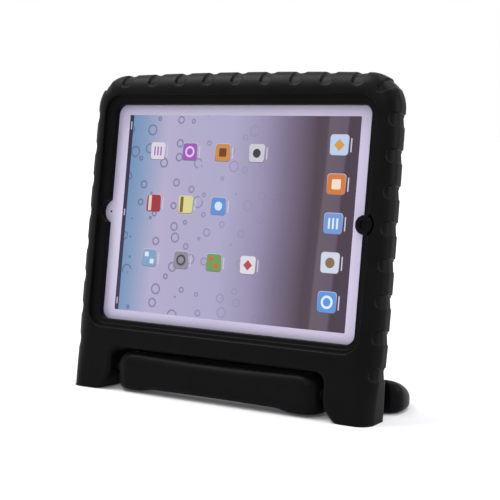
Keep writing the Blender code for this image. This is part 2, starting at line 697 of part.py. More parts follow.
def handle_half_plan():
    """Return matched outer and inner outline points of the handle's right half, from front to rear."""
    bar = BAR_HALF_LENGTH
    front = -BAR_FRONT
    end = BAR_END_CORNER
    side = LOOP_HALF_WIDTH
    fillet = LOOP_FILLET
    slot = SLOT_HALF_LENGTH
    outer = spread(Vector((0.0, front)), Vector((bar - end, front)), 6)
    outer += corner_arc(Vector((bar, front)), Vector((0.0, front)), Vector((bar, LOOP_START)),
                        end, end, 5)[:-1]
    outer += spread(Vector((bar, front + end)), Vector((bar, LOOP_START - fillet)), 3)
    outer += corner_arc(Vector((bar, LOOP_START)), Vector((bar, front)), Vector((side, LOOP_START)),
                        fillet, fillet, 4)[:-1]
    outer += spread(Vector((bar + fillet, LOOP_START)), Vector((side - LOOP_FRONT_CORNER, LOOP_START)), 3)
    outer += corner_arc(Vector((side, LOOP_START)), Vector((bar, LOOP_START)), Vector((side, LOOP_REAR)),
                        LOOP_FRONT_CORNER, LOOP_FRONT_CORNER, 5)[:-1]
    rear_cut = min(LOOP_REAR_CORNER, LOOP_REAR - LOOP_START - LOOP_FRONT_CORNER - LOOP_SIDE_LEAST)
    outer += corner_arc(Vector((side, LOOP_REAR)), Vector((side, LOOP_START)), Vector((0.0, LOOP_REAR)),
                        rear_cut, LOOP_REAR_CORNER, 8)[:-1]
    outer += spread(Vector((side - LOOP_REAR_CORNER, LOOP_REAR)), Vector((0.0, LOOP_REAR)), 6)
    outer.append(Vector((0.0, LOOP_REAR)))

    corner = SLOT_CORNER
    inner = spread(Vector((0.0, SLOT_FRONT)), Vector((slot - corner, SLOT_FRONT)), 6)
    inner += corner_arc(Vector((slot, SLOT_FRONT)), Vector((0.0, SLOT_FRONT)), Vector((slot, SLOT_REAR)),
                        corner, corner, 8)[:-1]
    inner += spread(Vector((slot, SLOT_FRONT + corner)), Vector((slot, SLOT_REAR - corner)), 11)
    inner += corner_arc(Vector((slot, SLOT_REAR)), Vector((slot, SLOT_FRONT)), Vector((0.0, SLOT_REAR)),
                        corner, corner, 9)[:-1]
    inner += spread(Vector((slot - corner, SLOT_REAR)), Vector((0.0, SLOT_REAR)), 6)
    inner = inner[:len(outer) - 1] + [Vector((0.0, SLOT_REAR))]
    return outer, inner


def handle_section(outer, inner):
    """Return one rounded section of the handle, between matched outline points."""
    across = inner - outer
    width = across.length
    middle = (inner + outer) / 2
    height = handle_top(middle) - handle_underside(middle)
    top = min(HANDLE_TOP_ROLL, width * 0.48, height * 0.55)
    bottom = min(HANDLE_BOTTOM_ROLL, width * 0.48, height * 0.40)
    inner_top = min(top, HANDLE_TOP_ROLL * 0.6)
    corners = [(Vector((0.0, height)), top), (Vector((0.0, 0.0)), bottom),
               (Vector((width, 0.0)), bottom), (Vector((width, height)), inner_top)]
    points = []
    for index, (corner, radius) in enumerate(corners):
        before = corners[index - 1][0]
        after = corners[(index + 1) % 4][0]
        points += corner_arc(corner, before, after, radius, radius, 4)
    section = []
    for point in points:
        place = outer + across * (point.x / width)
        low = handle_underside(place)
        high = handle_top(place)
        section.append(Vector((place.x, place.y, low + (high - low) * point.y / height)))
    return section


def handle_blank():
    """Return the handle as one closed ring of sections."""
    outer, inner = handle_half_plan()
    pairs = list(zip(outer, inner))
    mirror = [(Vector((-a.x, a.y)), Vector((-b.x, b.y))) for a, b in pairs[-2:0:-1]]
    shape = bmesh.new()
    loops = [[shape.verts.new(point) for point in handle_section(a, b)] for a, b in pairs + mirror]
    count = len(loops[0])
    for index, loop in enumerate(loops):
        following_loop = loops[(index + 1) % len(loops)]
        for step in range(count):
            following = (step + 1) % count
            shape.faces.new((loop[step], loop[following], following_loop[following], following_loop[step]))
    return shape


def build_handle(pivot, foam):
    """Build the handle that turns under the case to become its stand."""
    handle = finish_object("handle_stand", handle_blank(), foam, pivot)
    for side, name in ((-1, "left_socket"), (1, "right_socket")):
        depth = pin_span(side)[0] - side * PIVOT_CLEARANCE
        socket = rod(depth, side * (BAR_HALF_LENGTH + CUTTER_OVERRUN), BUSH_OUTER_RADIUS + TOUCH_GAP)
        cut(handle, finish_object(name, socket, None, pivot))
    return handle


def build_pivot(frame, pivot, bush_plastic, pin_plastic):
    """Build the two pins held in the legs and the bushes that turn on them."""
    for side, word in ((-1, "left"), (1, "right")):
        bar_end, leg_end = pin_span(side)
        pin = rod(bar_end, leg_end, PIN_RADIUS, PIVOT_BEHIND_GLASS, -PIVOT_DROP, segments=24)
        finish_object(f"pivot_pin_{word}", pin, pin_plastic, frame)
        bush_start = bar_end
        bush_end = side * (BAR_HALF_LENGTH - TOUCH_GAP)
        outer = circle_outline((0.0, 0.0), BUSH_OUTER_RADIUS, 24)
        inner = circle_outline((0.0, 0.0), PIN_RADIUS + PIVOT_CLEARANCE, 24)
        shape = bmesh.new()
        profile = ((bush_start, outer), (bush_end, outer), (bush_end, inner), (bush_start, inner))
        loops = [[shape.verts.new((place, point.x, point.y)) for point in ring] for place, ring in profile]
        for index, ring in enumerate(loops):
            following_ring = loops[(index + 1) % len(loops)]
            for step in range(len(ring)):
                following = (step + 1) % len(ring)
                shape.faces.new((ring[step], ring[following],
                                 following_ring[following], following_ring[step]))
        finish_object(f"pivot_bush_{word}", shape, bush_plastic, pivot)


# Tablet

def tablet_outline(inset, steps=5):
    """Return the tablet's outline moved inwards."""
    return rounded_rectangle(TABLET_LENGTH / 2 - inset, TABLET_HEIGHT / 2 - inset,
                             max(TABLET_CORNER - inset, SHELL_LEAST_CORNER), steps)


def shell_blank():
    """Return the dished back of the tablet, with the ledge that takes the glass."""
    ledge = GLASS_THICKNESS + TOUCH_GAP
    outside = [(0.0, SHELL_RIM_DROP), (0.0, SHELL_SIDE_DEPTH)]
    inside = [(SHELL_GLASS_EDGE, SHELL_RIM_DROP), (SHELL_GLASS_EDGE, ledge), (SHELL_SIDE_WALL, ledge),
              (SHELL_SIDE_WALL, SHELL_SIDE_DEPTH - SHELL_WALL / 2)]
    for margin_share, depth_share in SHELL_BACK_CURVE:
        depth = SHELL_SIDE_DEPTH + (TABLET_THICKNESS - SHELL_SIDE_DEPTH) * depth_share
        outside.append((SHELL_BACK_MARGIN * margin_share, depth))
        inner_margin = SHELL_SIDE_WALL + (SHELL_BACK_MARGIN - SHELL_SIDE_WALL) * margin_share
        inside.append((inner_margin, depth - SHELL_WALL))
    return loft([facing_front(tablet_outline(inset), depth) for inset, depth in inside[::-1] + outside])


def inner_margin_at(depth):
    """Return how far the shell's inner face lies from the tablet's edge, at a depth behind the glass."""
    below = (SHELL_SIDE_WALL, SHELL_SIDE_DEPTH - SHELL_WALL / 2)
    if depth <= below[1]:
        return below[0]
    for margin_share, depth_share in SHELL_BACK_CURVE:
        margin = SHELL_SIDE_WALL + (SHELL_BACK_MARGIN - SHELL_SIDE_WALL) * margin_share
        level = SHELL_SIDE_DEPTH + (TABLET_THICKNESS - SHELL_SIDE_DEPTH) * depth_share - SHELL_WALL
        if depth <= level:
            return below[0] + (margin - below[0]) * (depth - below[1]) / (level - below[1])
        below = (margin, level)
    return below[0]


def side_slot(centre, length, along_x, outward):
    """Return the cutter for a button in the shell's side wall."""
    half = length / 2 + BUTTON_GAP
    tall = SIDE_BUTTON_WIDTH / 2 + BUTTON_GAP
    front = SIDE_BUTTON_FROM_GLASS - tall
    back = SIDE_BUTTON_FROM_GLASS + tall
    shape = bmesh.new()
    if along_x:
        edge = outward * TABLET_HEIGHT / 2
        low = edge - SIDE_BUTTON_SLOT_REACH
        high = edge + SIDE_BUTTON_SLOT_REACH
        add_box(shape, (centre - half, front, low), (centre + half, back, high))
    else:
        edge = outward * TABLET_LENGTH / 2
        low = edge - SIDE_BUTTON_SLOT_REACH
        high = edge + SIDE_BUTTON_SLOT_REACH
        add_box(shape, (low, front, centre - half), (high, back, centre + half))
    return shape


def side_button(name, centre, length, along_x, outward, material, frame):
    """Build a button that stands a little proud of the shell's side wall, at its own place."""
    shape = bmesh.new()
    tall = SIDE_BUTTON_WIDTH / 2
    if along_x:
        edge = outward * (TABLET_HEIGHT / 2 + SIDE_BUTTON_PROUD - SIDE_BUTTON_DEPTH / 2)
        location = (centre, SIDE_BUTTON_FROM_GLASS, edge)
        half = (length / 2, tall, SIDE_BUTTON_DEPTH / 2)
    else:
        edge = outward * (TABLET_LENGTH / 2 + SIDE_BUTTON_PROUD - SIDE_BUTTON_DEPTH / 2)
        location = (edge, SIDE_BUTTON_FROM_GLASS, centre)
        half = (SIDE_BUTTON_DEPTH / 2, tall, length / 2)
    add_box(shape, [-value for value in half], half)
    return finish_object(name, shape, material, frame, location)


def build_shell(frame, aluminium):
    """Build the tablet's back shell with its slots and holes."""
    shell = finish_object("tablet_back_shell", shell_blank(), aluminium, frame)
    cuts = [
        ("sleep_slot", side_slot(TABLET_HEIGHT / 2 - SLEEP_BUTTON_FROM_TOP, SLEEP_BUTTON_LENGTH, False, -1)),
        ("volume_slot", side_slot(-TABLET_LENGTH / 2 + VOLUME_ROCKER_FROM_LEFT, VOLUME_ROCKER_LENGTH,
                                  True, 1)),
        ("switch_slot", side_slot(-TABLET_LENGTH / 2 + SIDE_SWITCH_FROM_LEFT,
                                  SIDE_SWITCH_LENGTH + SIDE_SWITCH_TRAVEL, True, 1)),
    ]
    jack_z = -TABLET_HEIGHT / 2 + JACK_FROM_BOTTOM
    left = -TABLET_LENGTH / 2
    cuts.append(("jack_hole", rod(left - CUTTER_OVERRUN, left + SIDE_BUTTON_SLOT_REACH, JACK_RADIUS,
                                  SIDE_BUTTON_FROM_GLASS, jack_z, segments=16)))
    dock = bmesh.new()
    dock_front = BEHIND_DISPLAY
    add_box(dock, (TABLET_LENGTH / 2 - SIDE_BUTTON_SLOT_REACH, dock_front, -DOCK_LENGTH / 2),
            (TABLET_LENGTH / 2 + CUTTER_OVERRUN, dock_front + DOCK_HEIGHT, DOCK_LENGTH / 2))
    cuts.append(("dock_slot", dock))
    camera = (-TABLET_LENGTH / 2 + REAR_CAMERA_FROM_LEFT, TABLET_HEIGHT / 2 - REAR_CAMERA_FROM_TOP)
    hole = plate(circle_outline(camera, REAR_CAMERA_RADIUS + TOUCH_GAP, 24), SHELL_FLOOR - SHELL_WALL,
                 TABLET_THICKNESS + SHELL_WALL)
    cuts.append(("camera_hole", hole))
    for name, shape in cuts:
        cut(shell, finish_object(name, shape, None, frame))


def build_screen(frame, glass, panel):
    """Build the front glass, with its hole for the home button, and the display behind it."""
    inset = SHELL_GLASS_EDGE + TOUCH_GAP
    pane = plate(tablet_outline(inset), 0.0, GLASS_THICKNESS)
    sheet = finish_object("tablet_front_glass", pane, glass, frame)
    hole = plate(circle_outline((HOME_BUTTON_X, 0.0), HOME_BUTTON_RADIUS + BUTTON_GAP), -GLASS_THICKNESS,
                 GLASS_THICKNESS * 2)
    cut(sheet, finish_object("home_hole", hole, None, frame))
    display = block(0.0, 0.0, DISPLAY_LENGTH, DISPLAY_HEIGHT, DISPLAY_FRONT,
                    DISPLAY_FRONT + DISPLAY_THICKNESS, radius=DISPLAY_CORNER)
    finish_object("tablet_display", display, panel, frame)


def build_buttons(frame, white):
    """Build the tablet's four controls, each at its own place."""
    disc = plate(circle_outline((0.0, 0.0), HOME_BUTTON_RADIUS), 0.0, HOME_BUTTON_THICKNESS)
    finish_object("tablet_home_button", disc, white, frame, (HOME_BUTTON_X, HOME_BUTTON_SINK, 0.0))
    side_button("tablet_sleep_button", TABLET_HEIGHT / 2 - SLEEP_BUTTON_FROM_TOP, SLEEP_BUTTON_LENGTH,
                False, -1, white, frame)
    side_button("tablet_volume_rocker", -TABLET_LENGTH / 2 + VOLUME_ROCKER_FROM_LEFT, VOLUME_ROCKER_LENGTH,
                True, 1, white, frame)
    switch_x = -TABLET_LENGTH / 2 + SIDE_SWITCH_FROM_LEFT - SIDE_SWITCH_TRAVEL / 2
    side_button("tablet_side_switch", switch_x, SIDE_SWITCH_LENGTH, True, 1, white, frame)


def build_cells(frame, pouch, board_green):
    """Build the battery cells and the logic board beside them."""
    row = BATTERY_COUNT * BATTERY_LENGTH + (BATTERY_COUNT - 1) * BATTERY_SPACING
    total = row + BATTERY_SPACING + LOGIC_BOARD_LENGTH
    left = -total / 2
    board_x = left + LOGIC_BOARD_LENGTH / 2
    for step in range(BATTERY_COUNT):
        start = left + LOGIC_BOARD_LENGTH + BATTERY_SPACING + step * (BATTERY_LENGTH + BATTERY_SPACING)
        cell = block(start + BATTERY_LENGTH / 2, 0.0, BATTERY_LENGTH, BATTERY_HEIGHT,
                     BEHIND_DISPLAY, INNER_FLOOR, radius=BATTERY_CORNER)
        finish_object(f"tablet_battery_{step + 1}", cell, pouch, frame)
    board = block(board_x, 0.0, LOGIC_BOARD_LENGTH, LOGIC_BOARD_HEIGHT, BEHIND_DISPLAY,
                  BEHIND_DISPLAY + LOGIC_BOARD_THICKNESS)
    logic = finish_object("tablet_logic_board", board, board_green, frame)
    shields = None
    for step in range(SHIELD_COUNT):
        centre_z = (step - (SHIELD_COUNT - 1) / 2) * LOGIC_BOARD_HEIGHT / SHIELD_COUNT
        can = block(board_x, centre_z, SHIELD_LENGTH, SHIELD_HEIGHT,
                    BEHIND_DISPLAY + LOGIC_BOARD_THICKNESS / 2, INNER_FLOOR)
        if shields:
            append_shape(shields, can)
        else:
            shields = can
    cut(logic, finish_object("shield_cans", shields, None, frame), "UNION")


def build_small_parts(frame, black, metal):
    """Build the cameras, the speaker, the headphone jack and the dock connector."""
    front_camera = plate(circle_outline((FRONT_CAMERA_X, 0.0), FRONT_CAMERA_RADIUS, 20),
                         GLASS_THICKNESS + TOUCH_GAP, BEHIND_DISPLAY + PARTS_OVERLAP)
    camera = finish_object("tablet_front_camera", front_camera, black, frame)
    body_back = INNER_FLOOR - FRONT_CAMERA_SHORT_BY
    body = block(FRONT_CAMERA_X, 0.0, FRONT_CAMERA_BLOCK, FRONT_CAMERA_BLOCK, BEHIND_DISPLAY, body_back)
    cut(camera, finish_object("front_camera_body", body, None, frame), "UNION")

    rear_x = -TABLET_LENGTH / 2 + REAR_CAMERA_FROM_LEFT
    rear_z = TABLET_HEIGHT / 2 - REAR_CAMERA_FROM_TOP
    rear_block = block(rear_x, rear_z, REAR_CAMERA_BLOCK, REAR_CAMERA_BLOCK, BEHIND_DISPLAY, INNER_FLOOR)
    rear = finish_object("tablet_rear_camera", rear_block, black, frame)
    barrel = plate(circle_outline((rear_x, rear_z), REAR_CAMERA_RADIUS, 24), INNER_FLOOR - PARTS_OVERLAP,
                   TABLET_THICKNESS - REAR_CAMERA_SHORT_BY)
    cut(rear, finish_object("rear_camera_barrel", barrel, None, frame), "UNION")

    speaker = block(TABLET_LENGTH / 2 - SPEAKER_FROM_RIGHT, -TABLET_HEIGHT / 2 + SPEAKER_FROM_BOTTOM,
                    SPEAKER_LENGTH, SPEAKER_HEIGHT, BEHIND_DISPLAY, INNER_FLOOR)
    finish_object("tablet_speaker", speaker, black, frame)

    wall = TABLET_LENGTH / 2 - inner_margin_at(BEHIND_DISPLAY + DOCK_HEIGHT) - TOUCH_GAP
    socket_back = BEHIND_DISPLAY + DOCK_HEIGHT
    dock = block(wall - DOCK_REACH / 2, 0.0, DOCK_REACH, DOCK_LENGTH, BEHIND_DISPLAY, socket_back)
    finish_object("tablet_dock_connector", dock, metal, frame)
    jack_z = -TABLET_HEIGHT / 2 + JACK_FROM_BOTTOM
    jack = block(-wall + JACK_REACH / 2, jack_z, JACK_REACH, JACK_BLOCK, GLASS_THICKNESS + TOUCH_GAP,
                 socket_back)
    finish_object("tablet_headphone_jack", jack, black, frame)


# Whole product

def stand_on_origin(root):
    """Move everything so that the middle of the part's underside lies on the origin."""
    bpy.context.view_layer.update()
    graph = bpy.context.evaluated_depsgraph_get()
    places = []
    for item in bpy.data.objects:
        if item.type != "MESH" or item.hide_render:
            continue
        finished = item.evaluated_get(graph)
        mesh = finished.to_mesh()
        places += [finished.matrix_world @ vertex.co for vertex in mesh.vertices]
        finished.to_mesh_clear()
    middle_y = (min(place.y for place in places) + max(place.y for place in places)) / 2
    root.location = (0.0, -middle_y, 0.0)
    bpy.context.view_layer.update()


def main():
    """Build the case, its handle and the tablet."""
    clear_scene()
    foam = make_material("foam", (0.012, 0.012, 0.013), 0.62)
    bush_plastic = make_material("bush_plastic", (0.03, 0.03, 0.03), 0.45)
    pin_plastic = make_material("pin_plastic", (0.02, 0.02, 0.02), 0.40)
    aluminium = make_material("shell_aluminium", (0.62, 0.63, 0.65), 0.35, 1.0)
    glass = make_material("front_glass", (0.62, 0.57, 0.72), 0.08)
    panel = make_material("display", (0.24, 0.28, 0.50), 0.25)
    white = make_material("button_plastic", (0.70, 0.68, 0.74), 0.35)
    pouch = make_material("battery_pouch", (0.05, 0.05, 0.06), 0.50)
    board_green = make_material("circuit_board", (0.02, 0.10, 0.06), 0.50)
    black = make_material("camera_black", (0.01, 0.01, 0.012), 0.20)
    metal = make_material("connector_metal", (0.60, 0.60, 0.58), 0.35, 1.0)

    root = add_empty("product")
    frame = add_empty("case_frame", root, (0.0, 0.0, GLASS_HEIGHT_ABOVE_FLOOR), -LEAN)
    pivot_y = PIVOT_BEHIND_GLASS * math.cos(LEAN) - PIVOT_DROP * math.sin(LEAN)
    pivot = add_empty("handle_pivot", root, (0.0, pivot_y, PIVOT_HEIGHT))
    build_case_body(frame, foam)
    build_handle(pivot, foam)
    build_pivot(frame, pivot, bush_plastic, pin_plastic)
    build_shell(frame, aluminium)
    build_screen(frame, glass, panel)
    build_buttons(frame, white)
    build_cells(frame, pouch, board_green)
    build_small_parts(frame, black, metal)
    stand_on_origin(root)


main()
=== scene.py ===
"""Moulded foam tablet case, standing on its turning handle, with a plain tablet in it.

Sizes are in metres. The case and the tablet are built upright, in the case's own frame: X to the right, Y to
the back, Z up, around the middle of the tablet's glass. LEAN_BACK then places their meshes in the model.
"""
import logging
import math
from collections.abc import Iterable, Sequence
from dataclasses import dataclass
from enum import Enum
from typing import Any

import bmesh
import bpy
from mathutils import Matrix, Vector


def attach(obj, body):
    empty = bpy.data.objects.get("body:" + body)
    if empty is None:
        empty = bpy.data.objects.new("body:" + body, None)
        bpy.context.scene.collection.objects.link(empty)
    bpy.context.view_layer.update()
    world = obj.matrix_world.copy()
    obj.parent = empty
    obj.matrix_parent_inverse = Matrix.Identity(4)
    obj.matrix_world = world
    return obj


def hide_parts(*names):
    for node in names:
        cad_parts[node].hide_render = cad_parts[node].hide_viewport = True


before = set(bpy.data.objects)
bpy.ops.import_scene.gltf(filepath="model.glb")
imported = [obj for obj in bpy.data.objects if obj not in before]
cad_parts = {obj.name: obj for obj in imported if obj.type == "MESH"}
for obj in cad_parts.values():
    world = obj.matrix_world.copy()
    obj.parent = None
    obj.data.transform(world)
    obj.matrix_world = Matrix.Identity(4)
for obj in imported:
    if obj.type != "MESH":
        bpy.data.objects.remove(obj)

LOG = logging.getLogger("tablet_case")
MM = 0.001
WHITE = (1.0, 1.0, 1.0, 1.0)
LEAN = math.radians(8.8)
CASE_ORIGIN = Vector((0.0, -0.015045, 0.131))
PIVOT_ORIGIN = Vector((0.0, -0.031803, 0.016213))
LEAN_BACK = Matrix.Translation(CASE_ORIGIN) @ Matrix.Rotation(-LEAN, 4, "X")
TO_PIVOT = Matrix.Translation(PIVOT_ORIGIN)
# The tablet's half sizes and corner, and its home button, which the case is moulded round as well.
TABLET_HALF = (0.1206, 0.09285)
TABLET_CORNER = 0.0115
HOME_X = 0.10935
# The gap that keeps the foam clear of the tablet, and a cut's surface clear of the one that it meets.
TOUCH_GAP = 0.0003
SAME_PLACE = 1e-7
CLEANING_REACH = 2e-6
FOAM_SHARP_DEG = 32.0


class Join(Enum):
    """What a Boolean does with its second solid."""

    CUT = "DIFFERENCE"
    WELD = "UNION"


class Symbol(Enum):
    """The plain shapes that a screen tile can carry."""

    DISC = "disc"
    RING = "ring"
    BARS = "bars"
    SQUARE = "square"
    DIAMOND = "diamond"
    QUARTERS = "quarters"
    BAND = "band"


# Shared tools

def to_linear(hex_colour: str) -> tuple[float, float, float, float]:
    """Turn an sRGB hex colour into a linear one.

    Args:
        hex_colour: The colour, such as "#1d1d1f".

    Returns:
        Red, green, blue and alpha.
    """
    channels = [int(hex_colour[start:start + 2], 16) / 255 for start in (1, 3, 5)]
    linear = [c / 12.92 if c <= 0.04045 else ((c + 0.055) / 1.055) ** 2.4 for c in channels]
    return (*linear, 1.0)


def smooth_rise(value: float, start: float, end: float) -> float:
    """Return 0 before start, 1 after end and a smooth rise between them."""
    share = min(max((value - start) / (end - start), 0.0), 1.0)
    return share * share * (3 - 2 * share)


def add_node(tree: bpy.types.NodeTree, kind: str, settings: dict[str, Any] | None = None,
             sockets: dict[str | int, Any] | None = None) -> bpy.types.Node:
    """Add a node to a tree, with its settings and its sockets.

    Args:
        tree: The material's or world's tree.
        kind: The node's type.
        settings: Properties of the node. "stops" sets a colour ramp's places and hex colours.
        sockets: Values of input sockets by name or number. An output socket is linked.

    Returns:
        The new node.
    """
    node = tree.nodes.new(kind)
    for name, value in (settings or {}).items():
        if name != "stops":
            setattr(node, name, value)
            continue
        elements = node.color_ramp.elements
        while len(elements) < len(value):
            elements.new(0.5)
        for element, (place, colour) in zip(elements, value):
            element.position = place
            element.color = to_linear(colour)
    for name, value in (sockets or {}).items():
        if isinstance(value, bpy.types.NodeSocket):
            tree.links.new(value, node.inputs[name])
        else:
            node.inputs[name].default_value = value
    return node


def new_material(name: str) -> tuple[bpy.types.Material, bpy.types.NodeTree]:
    """Make an empty node material.

    Args:
        name: The material's name.

    Returns:
        The material and its tree.
    """
    material = bpy.data.materials.new(name)
    material.use_nodes = True
    material.node_tree.nodes.clear()
    return material, material.node_tree


def object_place(tree: bpy.types.NodeTree) -> bpy.types.NodeSocket:
    """Return the Object coordinates that a material's patterns follow."""
    return add_node(tree, "ShaderNodeTexCoord").outputs["Object"]


def finish_shader(tree: bpy.types.NodeTree, sockets: dict[str | int, Any]) -> None:
    """Add the Principled shader and the output.

    Args:
        tree: The material's tree.
        sockets: The shader's values and links.
    """
    shader = add_node(tree, "ShaderNodeBsdfPrincipled", sockets=sockets)
    add_node(tree, "ShaderNodeOutputMaterial", sockets={"Surface": shader.outputs[0]})


def finish_screen(tree: bpy.types.NodeTree, colour: bpy.types.NodeSocket, glow: float) -> None:
    """Add the shader of a lit display: dark glossy glass that glows in a colour.

    Args:
        tree: The material's tree.
        colour: The colour that glows.
        glow: How strongly it glows.
    """
    finish_shader(tree, {"Base Color": to_linear("#0a0a0c"), "Roughness": 0.12, "Specular IOR Level": 0.2,
                         "Emission Color": colour, "Emission Strength": glow})


def calculate(tree: bpy.types.NodeTree, operation: str, *values: Any) -> bpy.types.NodeSocket:
    """Add a Math node.

    Args:
        tree: The material's or world's tree.
        operation: What the node does.
        values: Its inputs, numbers or output sockets.

    Returns:
        The node's result.
    """
    node = add_node(tree, "ShaderNodeMath", {"operation": operation}, dict(enumerate(values)))
    return node.outputs[0]


def spread(tree: bpy.types.NodeTree, value: bpy.types.NodeSocket, source: tuple[float, float],
           target: tuple[float, float], kind: str = "LINEAR") -> bpy.types.NodeSocket:
    """Add a Map Range node.

    Args:
        tree: The material's or world's tree.
        value: The value that it maps.
        source: The range that the value comes from.
        target: The range that it goes to.
        kind: The form of the rise.

    Returns:
        The mapped value.
    """
    return add_node(tree, "ShaderNodeMapRange", {"interpolation_type": kind}, {
        "Value": value, "From Min": source[0], "From Max": source[1],
        "To Min": target[0], "To Max": target[1]}).outputs[0]


def seen_rays(tree: bpy.types.NodeTree) -> bpy.types.NodeSocket:
    """Return 1 for what the camera sees directly, in a reflection or through glass, and else 0.

    Args:
        tree: The material's or world's tree.

    Returns:
        The value.
    """
    rays = add_node(tree, "ShaderNodeLightPath").outputs
    direct = calculate(tree, "MAXIMUM", rays["Is Camera Ray"], rays["Is Glossy Ray"])
    return calculate(tree, "MAXIMUM", direct, rays["Is Transmission Ray"])


def skin(rings: Sequence[Sequence[Vector]], capped: bool = True) -> bmesh.types.BMesh:
    """Wrap a grid round a row of closed rings.

    Args:
        rings: Rings of points, all of the same number.
        capped: True to close the first and the last ring with a face.

    Returns:
        The closed shape.
    """
    rows, columns = len(rings), len(rings[0])
    shape = bmesh.new()
    bmesh.ops.create_grid(shape, x_segments=columns, y_segments=rows - 1, size=1.0)
    shape.verts.ensure_lookup_table()
    for row, ring in enumerate(rings):
        for column in range(columns + 1):
            shape.verts[row * (columns + 1) + column].co = ring[column % columns]
    bmesh.ops.remove_doubles(shape, verts=shape.verts, dist=SAME_PLACE)
    if capped:
        bmesh.ops.holes_fill(shape, edges=shape.edges)
    bmesh.ops.recalc_face_normals(shape, faces=shape.faces)
    return shape


def corner_arc(corner: Vector, before: Vector, after: Vector, radii: tuple[float, float],
               steps: int) -> list[Vector]:
    """Round a right-angled corner of an outline.

    Args:
        corner: The sharp corner.
        before: A point on the edge before it.
        after: A point on the edge after it.
        radii: Lengths that the arc takes off the edge before and the edge after.
        steps: Number of steps along the arc.

    Returns:
        Points from the edge before to the edge after.
    """
    back = (before - corner).normalized() * radii[0]
    ahead = (after - corner).normalized() * radii[1]
    centre = corner + back + ahead
    turns = [math.pi / 2 * step / steps for step in range(steps + 1)]
    return [centre - ahead * math.cos(turn) - back * math.sin(turn) for turn in turns]


def rounded_box(half_length: float, half_height: float, radius: float, steps: int = 10,
                centre: tuple[float, float] = (0.0, 0.0)) -> list[Vector]:
    """Draw a rounded rectangle.

    Args:
        half_length: Half its length.
        half_height: Half its height.
        radius: Radius of its corners.
        steps: Steps of each corner.
        centre: Its middle.

    Returns:
        Its outline as 2-D points.
    """
    signs = ((-1, 1), (-1, -1), (1, -1), (1, 1))
    corners = [Vector((x * half_length, y * half_height)) for x, y in signs]
    points: list[Vector] = []
    for index, corner in enumerate(corners):
        following = corners[(index + 1) % 4]
        points += corner_arc(corner, corners[index - 1], following, (radius, radius), steps)
    return [point + Vector(centre) for point in points]


def circle(centre: tuple[float, float], radius: float, segments: int = 64) -> list[Vector]:
    """Return a circle as 2-D points."""
    turns = [2 * math.pi * step / segments for step in range(segments)]
    return [Vector((centre[0] + radius * math.cos(t), centre[1] + radius * math.sin(t))) for t in turns]


def facing_front(outline: Iterable[Vector], depth: float) -> list[Vector]:
    """Place a 2-D outline in the plane at a depth behind the glass."""
    return [Vector((point.x, depth, point.y)) for point in outline]


def plate(outline: Sequence[Vector], front: float, back: float, soft: float = 0.0,
          soft_steps: int = 3) -> bmesh.types.BMesh:
    """Build a flat solid between two depths, with its front edge rounded.

    Args:
        outline: The outline as 2-D points.
        front: Depth of its front face.
        back: Depth of its back face.
        soft: Radius of the front edge.
        soft_steps: Steps of that rounding.

    Returns:
        The shape.
    """
    shape = skin([facing_front(outline, front), facing_front(outline, back)])
    if soft:
        rim = [edge for edge in shape.edges
               if all(abs(vertex.co.y - front) < SAME_PLACE for vertex in edge.verts)]
        bmesh.ops.bevel(shape, geom=rim, offset=soft, offset_type="OFFSET", segments=soft_steps,
                        profile=0.5, affect="EDGES", material=-1, clamp_overlap=True)
    return shape


def rod(start_x: float, end_x: float, radius: float, depth: float, height: float,
        segments: int = 48) -> bmesh.types.BMesh:
    """Build a round bar along X.

    Args:
        start_x: Where it starts.
        end_x: Where it ends.
        radius: Its radius.
        depth: Its axis behind the glass.
        height: Its axis above the origin.
        segments: Sides of its circle.

    Returns:
        The shape.
    """
    shape = bmesh.new()
    place = Matrix.Translation(((start_x + end_x) / 2, depth, height)) @ Matrix.Rotation(math.pi / 2, 4, "Y")
    bmesh.ops.create_cone(shape, cap_ends=True, segments=segments, radius1=radius, radius2=radius,
                          depth=abs(end_x - start_x), matrix=place)
    return shape


def merge(shapes: Sequence[bmesh.types.BMesh]) -> bmesh.types.BMesh:
    """Put several shapes into the first one and free the others.

    Args:
        shapes: The shapes.

    Returns:
        The first shape.
    """
    first = shapes[0]
    for extra in shapes[1:]:
        mesh = bpy.data.meshes.new("extra")
        extra.to_mesh(mesh)
        extra.free()
        first.from_mesh(mesh)
        bpy.data.meshes.remove(mesh)
    return first


def make_piece(name: str, shape: bmesh.types.BMesh, place: Matrix | None = None) -> bpy.types.Object:
    """Turn a shape into an object at the origin, with its place in its mesh.

    Args:
        name: The piece's name.
        shape: The shape, which is freed.
        place: Where the shape goes in the model, or None where it is a cutter that is placed later.

    Returns:
        The object.
    """
    if place:
        bmesh.ops.transform(shape, matrix=place, verts=shape.verts)
    mesh = bpy.data.meshes.new(name)
    shape.to_mesh(mesh)
    shape.free()
    piece = bpy.data.objects.new(name, mesh)
    bpy.context.scene.collection.objects.link(piece)
    return piece


def boolean(piece: bpy.types.Object, tool: bpy.types.Object, join: Join = Join.CUT) -> None:
    """Cut a tool from a piece, or weld it on, and remove the tool.

    Args:
        piece: The object that changes.
        tool: The second solid.
        join: What to do with it.
    """
    modifier = piece.modifiers.new(tool.name, "BOOLEAN")
    modifier.operation = join.value
    modifier.solver = "EXACT"
    modifier.object = tool
    finished = piece.evaluated_get(bpy.context.evaluated_depsgraph_get())
    mesh = bpy.data.meshes.new_from_object(finished)
    old = piece.data
    piece.modifiers.clear()
    piece.data = mesh
    mesh.name = piece.name
    bpy.data.meshes.remove(old)
    bpy.data.objects.remove(tool, do_unlink=True)


